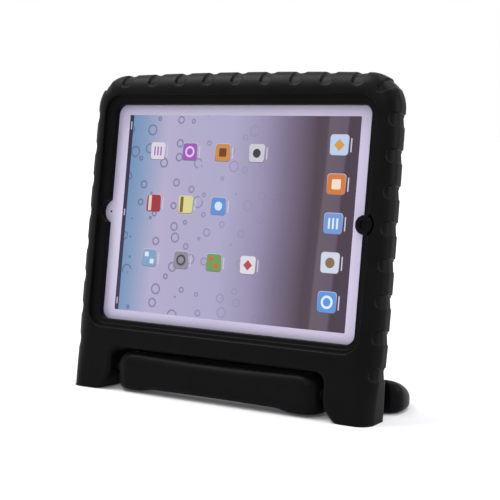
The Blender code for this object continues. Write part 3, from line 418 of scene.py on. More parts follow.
def shade(piece: bpy.types.Object, sharp_deg: float, place: Matrix | None = None) -> None:
    """Clean a piece's mesh, place it and shade it smooth up to an angle.

    Args:
        piece: The object.
        sharp_deg: Edges that turn by more than this stay sharp.
        place: Where the mesh goes in the model.
    """
    shape = bmesh.new()
    shape.from_mesh(piece.data)
    bmesh.ops.remove_doubles(shape, verts=shape.verts, dist=CLEANING_REACH)
    bmesh.ops.dissolve_degenerate(shape, dist=CLEANING_REACH, edges=shape.edges)
    bmesh.ops.triangulate(shape, faces=[face for face in shape.faces if len(face.verts) > 4])
    bmesh.ops.recalc_face_normals(shape, faces=shape.faces)
    if place:
        bmesh.ops.transform(shape, matrix=place, verts=shape.verts)
    shape.to_mesh(piece.data)
    shape.free()
    piece.data.shade_smooth()
    piece.data.set_sharp_from_angle(angle=math.radians(sharp_deg))


def dress(piece: bpy.types.Object, finish: bpy.types.Material, body: str, slot: str,
          *nodes: str) -> None:
    """Give a new piece its finish and its body, and hide the CAD nodes that it stands for.

    Args:
        piece: The object.
        finish: Its material.
        body: The body that it rides on.
        slot: The record's material slot. Not used.
        nodes: The CAD nodes that it replaces.
    """
    piece.data.materials.clear()
    piece.data.materials.append(finish)
    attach(piece, body)
    if nodes:
        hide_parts(*nodes)
    LOG.info("%s: %d faces on %s", piece.name, len(piece.data.polygons), body)


def dress_node(name: str, finish: bpy.types.Material) -> None:
    """Give a CAD node that stays its finish.

    Args:
        name: The node's name.
        finish: Its material.
    """
    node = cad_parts[name]
    if not node.material_slots:
        node.data.materials.append(None)
    for slot in node.material_slots:
        slot.material = finish
    LOG.info("%s: finished as %s", name, finish.name)


# Finishes

@dataclass(frozen=True)
class GrainFinish:
    """A moulded, blasted or rolled surface: two close colours, a fine grain and an uneven gloss.

    Sizes of the pattern are in millimetres on the real surface.
    """

    name: str
    colour: str
    second_colour: str
    patch_mm: float
    grain_mm: float
    grain_height_mm: float
    roughness: float
    roughness_spread: float
    metallic: float = 0.0
    specular: float = 0.5
    sheen: float = 0.0
    sheen_roughness: float = 0.5
    stretch: tuple[float, float, float] = (1.0, 1.0, 1.0)

    def make(self) -> bpy.types.Material:
        """Build the material.

        Returns:
            The material.
        """
        material, tree = new_material(self.name)
        turned = add_node(tree, "ShaderNodeMapping", sockets={
            "Vector": object_place(tree), "Rotation": (LEAN, 0.0, 0.0), "Scale": self.stretch}).outputs[0]
        patch = add_node(tree, "ShaderNodeTexNoise", sockets={
            "Vector": turned, "Scale": 1 / (self.patch_mm * MM), "Detail": 3.0, "Roughness": 0.55})
        grain = add_node(tree, "ShaderNodeTexNoise", sockets={
            "Vector": turned, "Scale": 1 / (self.grain_mm * MM), "Detail": 2.0, "Roughness": 0.6})
        colour = add_node(tree, "ShaderNodeValToRGB", {
            "stops": [(0.32, self.colour), (0.72, self.second_colour)]}, {"Fac": patch.outputs[0]})
        gloss = spread(tree, patch.outputs[0], (0.3, 0.7), (
            self.roughness - self.roughness_spread, self.roughness + self.roughness_spread))
        bump = add_node(tree, "ShaderNodeBump", sockets={
            "Height": grain.outputs[0], "Distance": self.grain_height_mm * MM, "Strength": 1.0})
        finish_shader(tree, {
            "Base Color": colour.outputs[0], "Roughness": gloss, "Normal": bump.outputs[0],
            "Metallic": self.metallic, "Specular IOR Level": self.specular,
            "Sheen Weight": self.sheen, "Sheen Roughness": self.sheen_roughness})
        return material


# EVA foam, compression moulded: a matt, almost black skin, faintly pebbled, that greys where it rolls over.
# Its real grain is about 0.3 mm and is drawn at 0.8 mm, because finer doesn't show in the picture.
FOAM = GrainFinish("moulded_eva_foam", "#0a0a0b", "#0e0e0f", patch_mm=22.0, grain_mm=0.8,
                   grain_height_mm=0.012, roughness=0.41, roughness_spread=0.04, specular=0.05,
                   sheen=0.02, sheen_roughness=0.4)
# Acetal, turned: a dull, waxy black pin with faint rings from the lathe.
PIN = GrainFinish("turned_black_acetal", "#0b0b0c", "#101011", patch_mm=6.0, grain_mm=0.5,
                  grain_height_mm=0.006, roughness=0.52, roughness_spread=0.06, specular=0.15,
                  stretch=(6.0, 1.0, 1.0))
# Nylon, injection moulded: a dull black bush.
BUSH = GrainFinish("moulded_nylon", "#0b0b0c", "#101011", patch_mm=5.0, grain_mm=0.6,
                   grain_height_mm=0.006, roughness=0.60, roughness_spread=0.05, specular=0.10)
# Aluminium, bead blasted and anodised: a soft silver with a very fine even grain.
ALUMINIUM = GrainFinish("blasted_anodised_aluminium", "#c3c5c9", "#cfd0d4", patch_mm=30.0, grain_mm=0.35,
                        grain_height_mm=0.004, roughness=0.36, roughness_spread=0.04, metallic=1.0)
# ABS, moulded and polished: a glossy white that picks up soft lights.
BUTTON = GrainFinish("polished_white_abs", "#d9d6dd", "#e2dfe6", patch_mm=8.0, grain_mm=0.7,
                     grain_height_mm=0.002, roughness=0.24, roughness_spread=0.04)
# Laminated foil pouch: dark grey with soft wrinkles.
POUCH = GrainFinish("laminated_cell_pouch", "#3a3a3e", "#4a4a50", patch_mm=18.0, grain_mm=7.0,
                    grain_height_mm=0.15, roughness=0.38, roughness_spread=0.08)
# Polycarbonate, moulded: a glossy black that hides what is behind it.
BLACK_PLASTIC = GrainFinish("moulded_black_polycarbonate", "#0e0e10", "#151518", patch_mm=9.0, grain_mm=0.6,
                            grain_height_mm=0.003, roughness=0.18, roughness_spread=0.04)
# Steel, stamped and tin plated: a pale grey metal with long rolling marks.
PLATED = GrainFinish("tin_plated_steel", "#b4b3ad", "#c4c3bc", patch_mm=6.0, grain_mm=0.4,
                     grain_height_mm=0.004, roughness=0.33, roughness_spread=0.06, metallic=1.0,
                     stretch=(0.2, 1.0, 1.0))


@dataclass(frozen=True)
class BoardFinish:
    """Glass-fibre board under a green solder mask, with pale copper runs showing through it."""

    name: str = "solder_masked_board"
    mask: str = "#123d29"
    run: str = "#2c6a45"
    run_pitch_mm: float = 2.4
    roughness: float = 0.42

    def make(self) -> bpy.types.Material:
        """Build the material.

        Returns:
            The material.
        """
        material, tree = new_material(self.name)
        cells = add_node(tree, "ShaderNodeTexVoronoi", {"distance": "CHEBYCHEV"}, {
            "Vector": object_place(tree), "Scale": 1 / (self.run_pitch_mm * MM), "Randomness": 0.35})
        colour = add_node(tree, "ShaderNodeValToRGB", {
            "stops": [(0.34, self.mask), (0.40, self.run), (0.46, self.mask)]}, {"Fac": cells.outputs[0]})
        bump = add_node(tree, "ShaderNodeBump", sockets={
            "Height": cells.outputs[0], "Distance": 0.02 * MM, "Strength": 0.6})
        finish_shader(tree, {"Base Color": colour.outputs[0], "Roughness": self.roughness,
                             "Normal": bump.outputs[0]})
        return material


@dataclass(frozen=True)
class BackPrintFinish:
    """Toughened glass, printed pale lilac-white on its back: a deep, even gloss over a soft colour."""

    name: str = "back_printed_toughened_glass"
    print_colour: str = "#d3cbe8"
    print_second: str = "#dcd4ee"
    patch_mm: float = 90.0
    roughness: float = 0.34
    coat_roughness: float = 0.06

    def make(self) -> bpy.types.Material:
        """Build the material.

        Returns:
            The material.
        """
        material, tree = new_material(self.name)
        patch = add_node(tree, "ShaderNodeTexNoise", sockets={
            "Vector": object_place(tree), "Scale": 1 / (self.patch_mm * MM), "Detail": 1.0})
        colour = add_node(tree, "ShaderNodeValToRGB", {
            "stops": [(0.35, self.print_colour), (0.65, self.print_second)]}, {"Fac": patch.outputs[0]})
        wave = add_node(tree, "ShaderNodeBump", sockets={
            "Height": patch.outputs[0], "Distance": 0.02 * MM, "Strength": 0.3})
        finish_shader(tree, {"Base Color": colour.outputs[0], "Roughness": self.roughness,
                             "Specular IOR Level": 0.25, "Coat Weight": 0.35,
                             "Coat Roughness": self.coat_roughness, "Coat Normal": wave.outputs[0]})
        return material


@dataclass(frozen=True)
class LitDisplayFinish:
    """Liquid-crystal display behind clear glass: it glows from blue through lilac to a dark plum."""

    name: str = "lit_liquid_crystal"
    stops: tuple[tuple[float, str], ...] = (
        (0.0, "#6088b0"), (0.09, "#8099bd"), (0.20, "#b2abca"), (0.50, "#aba6c6"), (0.64, "#968eae"),
        (0.74, "#776c86"), (0.86, "#4d3f4c"), (0.892, "#50424e"), (0.902, "#675966"), (0.968, "#635568"),
        (0.978, "#463946"), (1.0, "#483b49"))
    length: float = 0.1971
    tilt: float = -0.02
    drift_scale: float = 9.0
    drift_reach: float = 0.012
    bubble_mm: float = 15.0
    bubble_share: float = 0.27
    ring_mm: float = 0.9
    ring_strength: float = 0.80
    ring_colour: str = "#45567a"
    fade_across: tuple[float, float] = (-0.055, 0.02)
    fade_strength: tuple[float, float] = (1.0, 0.12)
    glow: float = 1.0

    def make(self) -> bpy.types.Material:
        """Build the material.

        Returns:
            The material.
        """
        material, tree = new_material(self.name)
        upright = add_node(tree, "ShaderNodeMapping", {"vector_type": "TEXTURE"}, {
            "Vector": object_place(tree), "Location": CASE_ORIGIN, "Rotation": (-LEAN, 0.0, 0.0)}).outputs[0]
        axes = add_node(tree, "ShaderNodeSeparateXYZ", sockets={"Vector": upright})
        across, height = axes.outputs["X"], axes.outputs["Z"]
        drift = add_node(tree, "ShaderNodeTexNoise", sockets={
            "Vector": upright, "Scale": self.drift_scale, "Detail": 1.0}).outputs[0]
        tilted = calculate(tree, "MULTIPLY_ADD", height, self.tilt, across)
        pushed = calculate(tree, "MULTIPLY_ADD", drift, self.drift_reach, tilted)
        share = spread(tree, pushed, (-self.length / 2, self.length / 2), (0.0, 1.0))
        sky = add_node(tree, "ShaderNodeValToRGB", {"stops": self.stops}, {"Fac": share}).outputs[0]
        flat = add_node(tree, "ShaderNodeCombineXYZ", sockets={"X": across, "Y": height}).outputs[0]
        bubble = add_node(tree, "ShaderNodeTexVoronoi", {"voronoi_dimensions": "2D"}, {
            "Vector": flat, "Scale": 1 / (self.bubble_mm * MM), "Randomness": 1.0}).outputs
        size = add_node(tree, "ShaderNodeSeparateColor", sockets={"Color": bubble["Color"]}).outputs[0]
        radius = calculate(tree, "MULTIPLY", size, self.bubble_share)
        rim = calculate(tree, "ABSOLUTE", calculate(tree, "SUBTRACT", bubble["Distance"], radius))
        line = spread(tree, rim, (0.0, self.ring_mm / self.bubble_mm), (self.ring_strength, 0.0))
        marks = calculate(tree, "MULTIPLY", line, spread(tree, across, self.fade_across, self.fade_strength))
        glow = add_node(tree, "ShaderNodeMix", {"data_type": "RGBA"}, {
            0: marks, 6: sky, 7: to_linear(self.ring_colour)}).outputs[2]
        finish_screen(tree, glow, self.glow)
        return material


@dataclass(frozen=True)
class TileFinish:
    """Lit picture elements of the display: each shape glows in the colour that its attribute holds."""

    name: str = "lit_screen_tiles"
    attribute: str = "tile_colour"
    glow: float = 1.0

    def make(self) -> bpy.types.Material:
        """Build the material.

        Returns:
            The material.
        """
        material, tree = new_material(self.name)
        colour = add_node(tree, "ShaderNodeAttribute", {"attribute_name": self.attribute}).outputs["Color"]
        finish_screen(tree, colour, self.glow)
        return material


# Case

@dataclass(frozen=True)
class Roll:
    """A rolled edge: how far it reaches in from the side, and how deep it is."""

    inset: float
    depth: float


@dataclass(frozen=True)
class Side:
    """One straight side of the case's outline, with the corner that it starts from.

    The front and back rolls are given at the side's start and at its end.
    """

    start: tuple[float, float]
    corner: float
    front: tuple[Roll, Roll]
    back: tuple[Roll, Roll]
    corner_steps: int
    hollow: bool = False
    scoops: tuple[float, ...] = ()
    crown: float = 0.0


@dataclass(frozen=True)
class Station:
    """One place on the way round the case.

    It is on a corner where turn_deg is set, and else on a straight side at a place along it. The offset is
    the distance from the middle of the nearest scoop, or None.
    """

    side: int
    turn_deg: float | None
    place: float
    offset: float | None


@dataclass
class MouldedCase:
    """The one-piece foam case: rolled and scooped rim, window, pad over the home button and two legs."""

    length: float = 0.2555
    top: float = 0.1041
    leg_reach: float = 0.1358
    front: float = 0.0108
    back: float = 0.0152
    corner: float = 0.0250
    top_crown: float = 0.0014
    side_crown: float = 0.0008
    rim_front: Roll = Roll(0.0165, 0.0120)
    rim_back: Roll = Roll(0.0120, 0.0100)
    leg_front: Roll = Roll(0.0120, 0.0100)
    leg_back: Roll = Roll(0.0045, 0.0045)
    leg_taper: float = 0.0013
    leg_taper_starts: float = 0.0758
    leg_roll_starts: float = 0.0900
    leg_roll_full: float = 0.1300
    notch_roll: Roll = Roll(0.0035, 0.0035)
    foot_roll: Roll = Roll(0.0020, 0.0020)
    leg_outer_corner: float = 0.0030
    leg_inner_corner: float = 0.0190
    least_corner: float = 0.0003
    notch_half_width: float = 0.0905
    notch_top: float = 0.1017
    notch_corner: float = 0.0080
    lip_drop: float = 0.0029
    lip_thickness: float = 0.0030
    lip_root: float = 0.0045
    lip_corner: float = 0.0012
    lip_soft: float = 0.0008
    scoop_pitch: float = 0.0244
    scoop_width: float = 0.0102
    scoop_depth: float = 0.0011
    scoop_slope: float = 0.55
    corner_scoop_share: float = 0.75
    scoop_wall: float = 0.0013
    scoop_skirt: float = 0.0005
    scoop_clearance: float = 0.0009
    scoop_clearance_deg: float = 0.3
    side_scoop_shift: float = -0.0015
    side_scoops: tuple[int, int] = (-4, 4)
    top_scoops: tuple[int, int] = (-4, 5)
    top_scoop_deg: tuple[float, float] = (19.0, 38.0)
    side_scoop_deg: tuple[float, float] = (41.0, 58.0)
    station_pitch: float = 0.0022
    front_rows: int = 44
    back_rows: int = 16
    rim_corner_steps: int = 24
    leg_outer_steps: int = 6
    leg_inner_steps: int = 14
    notch_corner_steps: int = 10
    window_half: tuple[float, float] = (0.1087, 0.08125)
    window_corner: float = 0.0070
    ledge: float = 0.0060
    recess_margin: float = 0.0062
    recess_soft: float = 0.0012
    recess_steps: int = 6
    line_flare: float = 0.0003
    window_corner_steps: int = 12
    tablet_thickness: float = 0.0094
    pocket_gap: float = 0.0005
    pad_centre: float = HOME_X
    pad_radius: float = 0.0067
    pad_front: float = 0.0062
    pad_back: float = 0.0006
    pad_edge: float = 0.0009
    pad_clearance: float = 0.0002
    pad_slit: float = 0.0028
    pad_skin: float = 0.0010
    pad_dimple_radius: float = 0.0031
    pad_dimple_depth: float = 0.0011
    pad_dimple_segments: int = 40
    pad_sweep_deg: float = 124.0
    pad_sweep_steps: int = 36
    camera_notch_radius: float = 0.0090
    camera_notch_from_lip: float = 0.0032
    camera_notch_sink: float = 0.0022
    back_camera: tuple[float, float] = (-0.1036, 0.07485)
    back_camera_radius: float = 0.0075
    sound_slot: tuple[float, float] = (0.0026, 0.0240)
    sound_corner: float = 0.00117
    sound_centre: tuple[float, float] = (0.0986, -0.05985)
    sound_pitch: float = 0.0060
    sound_count: int = 4
    overrun: float = 0.0020
    pin_radius: float = 0.0030
    pin_clearance: float = 0.0003
    pin_in_leg: float = 0.0085
    pivot_drop: float = 0.1160
    pivot_depth: float = 0.0010
    soft_steps: int = 4
    small_corner_steps: int = 6

    def sides(self) -> list[Side]:
        """Lay out the outline.

        Returns:
            Its sides, from the top left corner down the left side and round.
        """
        half = self.length / 2
        side_places = tuple(self.side_scoop_shift + self.scoop_pitch * step
                            for step in range(*self.side_scoops))
        top_places = tuple(self.scoop_pitch * step for step in range(*self.top_scoops))
        rim_f, rim_b, leg_f, leg_b = self.rim_front, self.rim_back, self.leg_front, self.leg_back
        foot, notch = (self.foot_roll,) * 2, (self.notch_roll,) * 2
        inner, across, notch_top = self.leg_inner_corner, self.notch_half_width, -self.notch_top
        outer, reach = self.leg_outer_corner, -self.leg_reach
        rim_steps, notch_steps = self.rim_corner_steps, self.notch_corner_steps
        return [
            Side((-half, self.top), self.corner, (rim_f, leg_f), (rim_b, leg_b), rim_steps,
                 scoops=side_places, crown=self.side_crown),
            Side((-half, reach), outer, foot, foot, self.leg_outer_steps),
            Side((-across, reach), inner, notch, notch, self.leg_inner_steps),
            Side((-across, notch_top), self.notch_corner, notch, notch, notch_steps, hollow=True),
            Side((across, notch_top), self.notch_corner, notch, notch, notch_steps, hollow=True),
            Side((across, reach), inner, foot, foot, self.leg_inner_steps),
            Side((half, reach), outer, (leg_f, rim_f), (leg_b, rim_b), self.leg_outer_steps,
                 scoops=side_places, crown=self.side_crown),
            Side((half, self.top), self.corner, (rim_f, rim_f), (rim_b, rim_b), rim_steps,
                 scoops=top_places, crown=self.top_crown),
        ]

    def scoop_offsets(self) -> list[float]:
        """Lay out places across one scoop, close together at its two walls.

        Returns:
            Distances from its middle.
        """
        half, wall = self.scoop_width / 2, self.scoop_wall
        near = [half + self.scoop_skirt, half] + [half - wall * share for share in (0.25, 0.5, 0.75, 1.0)]
        near += [half * share for share in (0.6, 0.4, 0.2)]
        return [-value for value in near] + [0.0] + near[::-1]

    def stations(self, sides: Sequence[Side]) -> list[Station]:
        """Lay out every place on the way round the case.

        Args:
            sides: The outline's sides.

        Returns:
            The places, in order.
        """
        made: list[Station] = []
        for index, side in enumerate(sides):
            turns = {90.0 * step / side.corner_steps: None for step in range(side.corner_steps + 1)}
            if side.corner == self.corner:
                reach = math.degrees((self.scoop_width / 2 + self.scoop_skirt) / self.corner)
                reach += self.scoop_clearance_deg
                turns = {turn: None for turn in turns if abs(turn - 45.0) > reach}
                turns.update({45.0 + math.degrees(offset / self.corner): offset
                              for offset in self.scoop_offsets()})
            made += [Station(index, turn, 0.0, offset) for turn, offset in sorted(turns.items())]
            if side.scoops:
                made += self.straight_stations(sides, index)
        return made

    def straight_stations(self, sides: Sequence[Side], index: int) -> list[Station]:
        """Lay out the places along one straight side that has scoops.

        Args:
            sides: The outline's sides.
            index: The side's number.

        Returns:
            The places, in order.
        """
        side, following = sides[index], sides[(index + 1) % len(sides)]
        upright = abs(following.start[1] - side.start[1]) > abs(following.start[0] - side.start[0])
        axis = 1 if upright else 0
        way = 1 if following.start[axis] > side.start[axis] else -1
        low = side.start[axis] + way * side.corner
        high = following.start[axis] - way * following.corner
        clear = self.scoop_width / 2 + self.scoop_clearance
        places: dict[float, float | None] = {}
        count = int(abs(high - low) / self.station_pitch)
        for step in range(1, count):
            place = low + (high - low) * step / count
            if all(abs(place - scoop) > clear for scoop in side.scoops):
                places[place] = None
        for scoop in side.scoops:
            for offset in self.scoop_offsets():
                places[scoop + way * offset] = offset
        return [Station(index, None, place, places[place]) for place in sorted(places, key=lambda p: way * p)]

    def scoop_press(self, offset: float | None, roll_deg: float, upright: bool) -> float:
        """Return how far the skin is pressed in at a place across a scoop and along the roll.

        Args:
            offset: Distance from the scoop's middle on the way round, or None.
            roll_deg: Turn along the roll, 0 on the flat face and 90 at the side.
            upright: True on the two upright sides, whose scoops start farther round the roll.

        Returns:
            The depth, in metres.
        """
        half = self.scoop_width / 2
        if offset is None or abs(offset) >= half:
            return 0.0
        tip, shoulder = self.side_scoop_deg if upright else self.top_scoop_deg
        start = tip + (shoulder - tip) * (1 - math.sqrt(1 - (offset / half) ** 2))
        beyond = math.radians(roll_deg - start) * self.rim_front.inset
        wall = min(half - abs(offset), beyond) / self.scoop_wall
        return self.scoop_depth * smooth_rise(wall, 0.0, 1.0) * (1 + self.scoop_slope * offset / half)

    def ring(self, sides: Sequence[Side], stations: Sequence[Station], roll_deg: float,
             front: bool) -> list[Vector]:
        """Return one ring of points round the case.

        Args:
            sides: The outline's sides.
            stations: The places on the way round.
            roll_deg: Turn along the rolled edge, 0 on the flat face and 90 at the side.
            front: True for the roll at the front.

        Returns:
            The ring's points.
        """
        turn = math.radians(roll_deg)
        narrow, shrink = 1 - math.sin(turn), 1 - math.cos(turn)
        count = len(sides)
        points = [Vector(side.start) for side in sides]
        ways = [(points[(index + 1) % count] - points[index]).normalized() for index in range(count)]
        inward = [Vector((-way.y, way.x)) for way in ways]
        rolls = [side.front if front else side.back for side in sides]
        corners = [points[index] + inward[index - 1] * rolls[index - 1][1].inset * narrow
                   + inward[index] * rolls[index][0].inset * narrow for index in range(count)]
        ring: list[Vector] = []
        for station in stations:
            index = station.side
            side, roll_start, roll_before = sides[index], rolls[index][0], rolls[index - 1][1]
            upright = abs(ways[index].y) > 0.5
            if station.turn_deg is None:
                end = corners[(index + 1) % count]
                normal, roll, base = self.on_straight(side, rolls[index], corners[index], end, inward[index],
                                                      station.place, narrow, upright)
            else:
                sign = -1.0 if side.hollow else 1.0
                cut_before = max(side.corner - sign * roll_start.inset * narrow, self.least_corner)
                cut_after = max(side.corner - sign * roll_before.inset * narrow, self.least_corner)
                angle = math.radians(station.turn_deg)
                back, ahead = -ways[index - 1] * cut_before, ways[index] * cut_after
                base = corners[index] + back * (1 - math.sin(angle)) + ahead * (1 - math.cos(angle))
                normal = (inward[index - 1] * math.cos(angle) + inward[index] * math.sin(angle)).normalized()
                roll = roll_before.depth + (roll_start.depth - roll_before.depth) * station.turn_deg / 90.0
                upright = False
            press = self.scoop_press(station.offset, roll_deg, upright)
            if station.turn_deg is not None:
                press *= self.corner_scoop_share
            skin_point = base + normal * press * math.sin(turn)
            taper = self.leg_taper * smooth_rise(-base.y, self.leg_taper_starts, self.leg_reach)
            taper *= smooth_rise(abs(base.x), self.notch_half_width, self.length / 2)
            skin_point.x -= math.copysign(taper, base.x)
            depth = roll * shrink + press * math.cos(turn)
            behind_glass = depth - self.front if front else self.back - depth
            ring.append(Vector((skin_point.x, behind_glass, skin_point.y)))
        return ring

    def on_straight(self, side: Side, rolls: tuple[Roll, Roll], start: Vector, end: Vector, inward: Vector,
                    place: float, narrow: float, upright: bool) -> tuple[Vector, float, Vector]:
        """Place a point of a ring on a straight side.

        Args:
            side: The side.
            rolls: The rolls at its start and its end.
            start: Where the ring's side starts.
            end: Where the ring's side ends.
            inward: The direction into the case.
            place: The point's place along the side.
            narrow: The share of the roll's inset that the ring has left.
            upright: True on the two upright sides.

        Returns:
            The inward direction, the roll's depth there and the point.
        """
        share = 0.0
        if upright:
            share = smooth_rise(-place, self.leg_roll_starts, self.leg_roll_full)
            share = share if side.start[1] > 0 else 1 - share
        inset = rolls[0].inset + (rolls[1].inset - rolls[0].inset) * share
        depth = rolls[0].depth + (rolls[1].depth - rolls[0].depth) * share
        axis = 1 if upright else 0
        way = 1 if end[axis] > start[axis] else -1
        low, high = self.straight_span(axis, way)
        along = (place - (low + high) / 2) / ((high - low) / 2)
        bulge = side.crown * max(1 - along * along, 0.0)
        base = start + inward * ((inset - rolls[0].inset) * narrow - bulge)
        base[axis] = place
        return inward, depth, base

    def straight_span(self, axis: int, way: int) -> tuple[float, float]:
        """Find where the straight stretch of a scooped side starts and ends.

        Args:
            axis: 0 along X and 1 upright.
            way: 1 where the side runs along the axis and -1 where it runs back.

        Returns:
            Its start and its end.
        """
        if axis == 0:
            reach = self.length / 2 - self.corner
            return -way * reach, way * reach
        upper, lower = self.top - self.corner, -self.leg_reach + self.leg_outer_corner
        return (lower, upper) if way > 0 else (upper, lower)

    def blank(self) -> bmesh.types.BMesh:
        """Build the moulded block before anything is cut from it.

        Returns:
            The shape.
        """
        sides = self.sides()
        stations = self.stations(sides)
        rings = [self.ring(sides, stations, 90.0 * step / self.front_rows, True)
                 for step in range(self.front_rows + 1)]
        rings += [self.ring(sides, stations, 90.0 * step / self.back_rows, False)
                  for step in range(self.back_rows, -1, -1)]
        return skin(rings)

    def soft_edge(self, depth: float, grow: float) -> list[tuple[float, float]]:
        """Round one edge of the window's recess.

        Args:
            depth: Where the rounding starts.
            grow: How far the recess reaches out past the window after it.

        Returns:
            Depth and outward growth of each ring.
        """
        soft, steps = self.recess_soft, self.recess_steps
        turns = [math.pi / 2 * step / steps for step in range(steps + 1)]
        return [(depth + soft * (1 - math.cos(t)), grow + soft * (1 - math.sin(t))) for t in turns]

    def recess_profile(self) -> list[tuple[float, float]]:
        """Lay out the window's recess: a soft step down from the face, a fine line and a soft lip.

        Returns:
            Depth and outward growth of each ring.
        """
        soft, margin, ledge = self.recess_soft, self.recess_margin, self.ledge
        line = margin / 2
        # The floor falls to the line in five steps, each a share of the soft radius above the ledge.
        floor = [(0.8, margin - soft * 0.2), (0.6, margin - soft * 0.6), (0.5, line + self.line_flare * 2),
                 (0.3, line + self.line_flare), (0.15, line)]
        return ([(-self.front - self.overrun, margin + soft)] + self.soft_edge(-self.front, margin)
                + [(-ledge - soft * share, grow) for share, grow in floor]
                + self.soft_edge(-ledge, 0.0) + [(-TOUCH_GAP, 0.0)])

    def pad_hollow(self) -> bmesh.types.BMesh:
        """Build the round sector that is hollow beside the pad, down to the skin that carries it.

        Returns:
            The shape.
        """
        face, sweep = -self.front - self.overrun, math.radians(self.pad_sweep_deg)
        middle = (0.0, 0.0, 0.0)
        shape = bmesh.new()
        arm = shape.verts.new((0.0, face, 0.0))
        rim = shape.verts.new((self.pad_radius + self.pad_slit, face, 0.0))
        edge = shape.edges.new((arm, rim))
        bmesh.ops.rotate(shape, cent=middle, matrix=Matrix.Rotation(sweep / 2, 3, "Y"), verts=[arm, rim])
        bmesh.ops.spin(shape, geom=[arm, rim, edge], cent=middle, axis=(0.0, 1.0, 0.0), angle=-sweep,
                       steps=self.pad_sweep_steps, use_merge=False, use_duplicate=False)
        bmesh.ops.remove_doubles(shape, verts=shape.verts, dist=SAME_PLACE)
        floor = bmesh.ops.extrude_face_region(shape, geom=shape.faces[:])
        moved = [item for item in floor["geom"] if isinstance(item, bmesh.types.BMVert)]
        bmesh.ops.translate(shape, vec=(0.0, -face - self.pad_skin, 0.0), verts=moved)
        bmesh.ops.translate(shape, vec=(self.pad_centre, 0.0, 0.0), verts=shape.verts)
        bmesh.ops.recalc_face_normals(shape, faces=shape.faces)
        return shape

    def window_tool(self) -> bpy.types.Object:
        """Build the solid of everything that is hollow in front of and around the tablet.

        Returns:
            The tool.
        """
        half_x, half_z = self.window_half
        rings = [facing_front(rounded_box(half_x + grow, half_z + grow, self.window_corner + grow,
                                          self.window_corner_steps), depth)
                 for depth, grow in self.recess_profile()]
        gap = self.pocket_gap
        pocket = rounded_box(TABLET_HALF[0] + gap, TABLET_HALF[1] + gap, TABLET_CORNER + gap,
                             self.window_corner_steps)
        rings += [facing_front(pocket, -TOUCH_GAP), facing_front(pocket, self.tablet_thickness + TOUCH_GAP)]
        window = make_piece("window_tool", skin(rings))

        face, spot = -self.front - self.overrun, (self.pad_centre, 0.0)
        above = plate(circle(spot, self.pad_radius + self.pad_clearance), face,
                      -self.pad_front - self.pad_clearance)
        notch = plate(circle((-half_x + self.camera_notch_from_lip, 0.0), self.camera_notch_radius),
                      -self.front + self.camera_notch_sink, -TOUCH_GAP)
        pad = plate(circle(spot, self.pad_radius), -self.pad_front, -self.pad_back, self.pad_edge,
                    self.soft_steps)
        dimple = plate(circle(spot, self.pad_dimple_radius, self.pad_dimple_segments), face,
                       -self.pad_front + self.pad_dimple_depth)
        # The dimple comes last, so that no sliver of foam stands between it and the hollow.
        for name, shape, join in (("pad_hollow", self.pad_hollow(), Join.WELD),
                                  ("above_pad", above, Join.WELD), ("camera_notch", notch, Join.WELD),
                                  ("pad", pad, Join.CUT), ("pad_dimple", dimple, Join.WELD)):
            boolean(window, make_piece(name, shape), join)
        return window

    def back_tool(self) -> bpy.types.Object:
        """Build the solid of the camera hole and sound slots in the back, and of the pins' bores.

        Returns:
            The tool.
        """
        front, back = self.tablet_thickness - self.overrun / 2, self.back + self.overrun
        shapes = [plate(circle(self.back_camera, self.back_camera_radius), front, back)]
        across, height = self.sound_centre
        for step in range(self.sound_count):
            centre = (across + self.sound_pitch * (step - (self.sound_count - 1) / 2), height)
            slot = rounded_box(self.sound_slot[0] / 2, self.sound_slot[1] / 2, self.sound_corner,
                               self.small_corner_steps, centre)
            shapes.append(plate(slot, front, back))
        near = self.notch_half_width - self.overrun
        far = self.notch_half_width + self.pin_in_leg + self.pin_clearance
        shapes += [rod(way * near, way * far, self.pin_radius + self.pin_clearance, self.pivot_depth,
                       -self.pivot_drop) for way in (-1, 1)]
        return make_piece("back_tool", merge(shapes))

    def chin_lip(self) -> bmesh.types.BMesh:
        """Build the lip that hangs behind the handle's bar, along the lower edge of the chin.

        Returns:
            The shape.
        """
        centre = (0.0, -self.notch_top + (self.lip_root - self.lip_drop) / 2)
        outline = rounded_box(self.notch_half_width - self.notch_corner, (self.lip_root + self.lip_drop) / 2,
                              self.lip_corner, self.small_corner_steps, centre)
        back = self.back - TOUCH_GAP
        return plate(outline, back - self.lip_thickness, back, self.lip_soft, self.soft_steps)

    def stand_flat(self, piece: bpy.types.Object) -> None:
        """Cut the legs off level with the surface that the leaning case stands on.

        Args:
            piece: The case.
        """
        shape = bmesh.new()
        shape.from_mesh(piece.data)
        down = Vector((0.0, math.sin(LEAN), -math.cos(LEAN)))
        geometry = shape.verts[:] + shape.edges[:] + shape.faces[:]
        bmesh.ops.bisect_plane(shape, geom=geometry, dist=SAME_PLACE, plane_co=down * CASE_ORIGIN.z,
                               plane_no=down, clear_outer=True)
        bmesh.ops.holes_fill(shape, edges=shape.edges)
        shape.to_mesh(piece.data)
        shape.free()

    def build(self) -> None:
        """Build the case and dress it."""
        body = make_piece("foam_case", self.blank())
        self.stand_flat(body)
        boolean(body, make_piece("chin_lip", self.chin_lip()), Join.WELD)
        boolean(body, self.window_tool())
        boolean(body, self.back_tool())
        shade(body, FOAM_SHARP_DEG, LEAN_BACK)
        dress(body, FOAM.make(), "case", "foam", "case_body")


# Handle

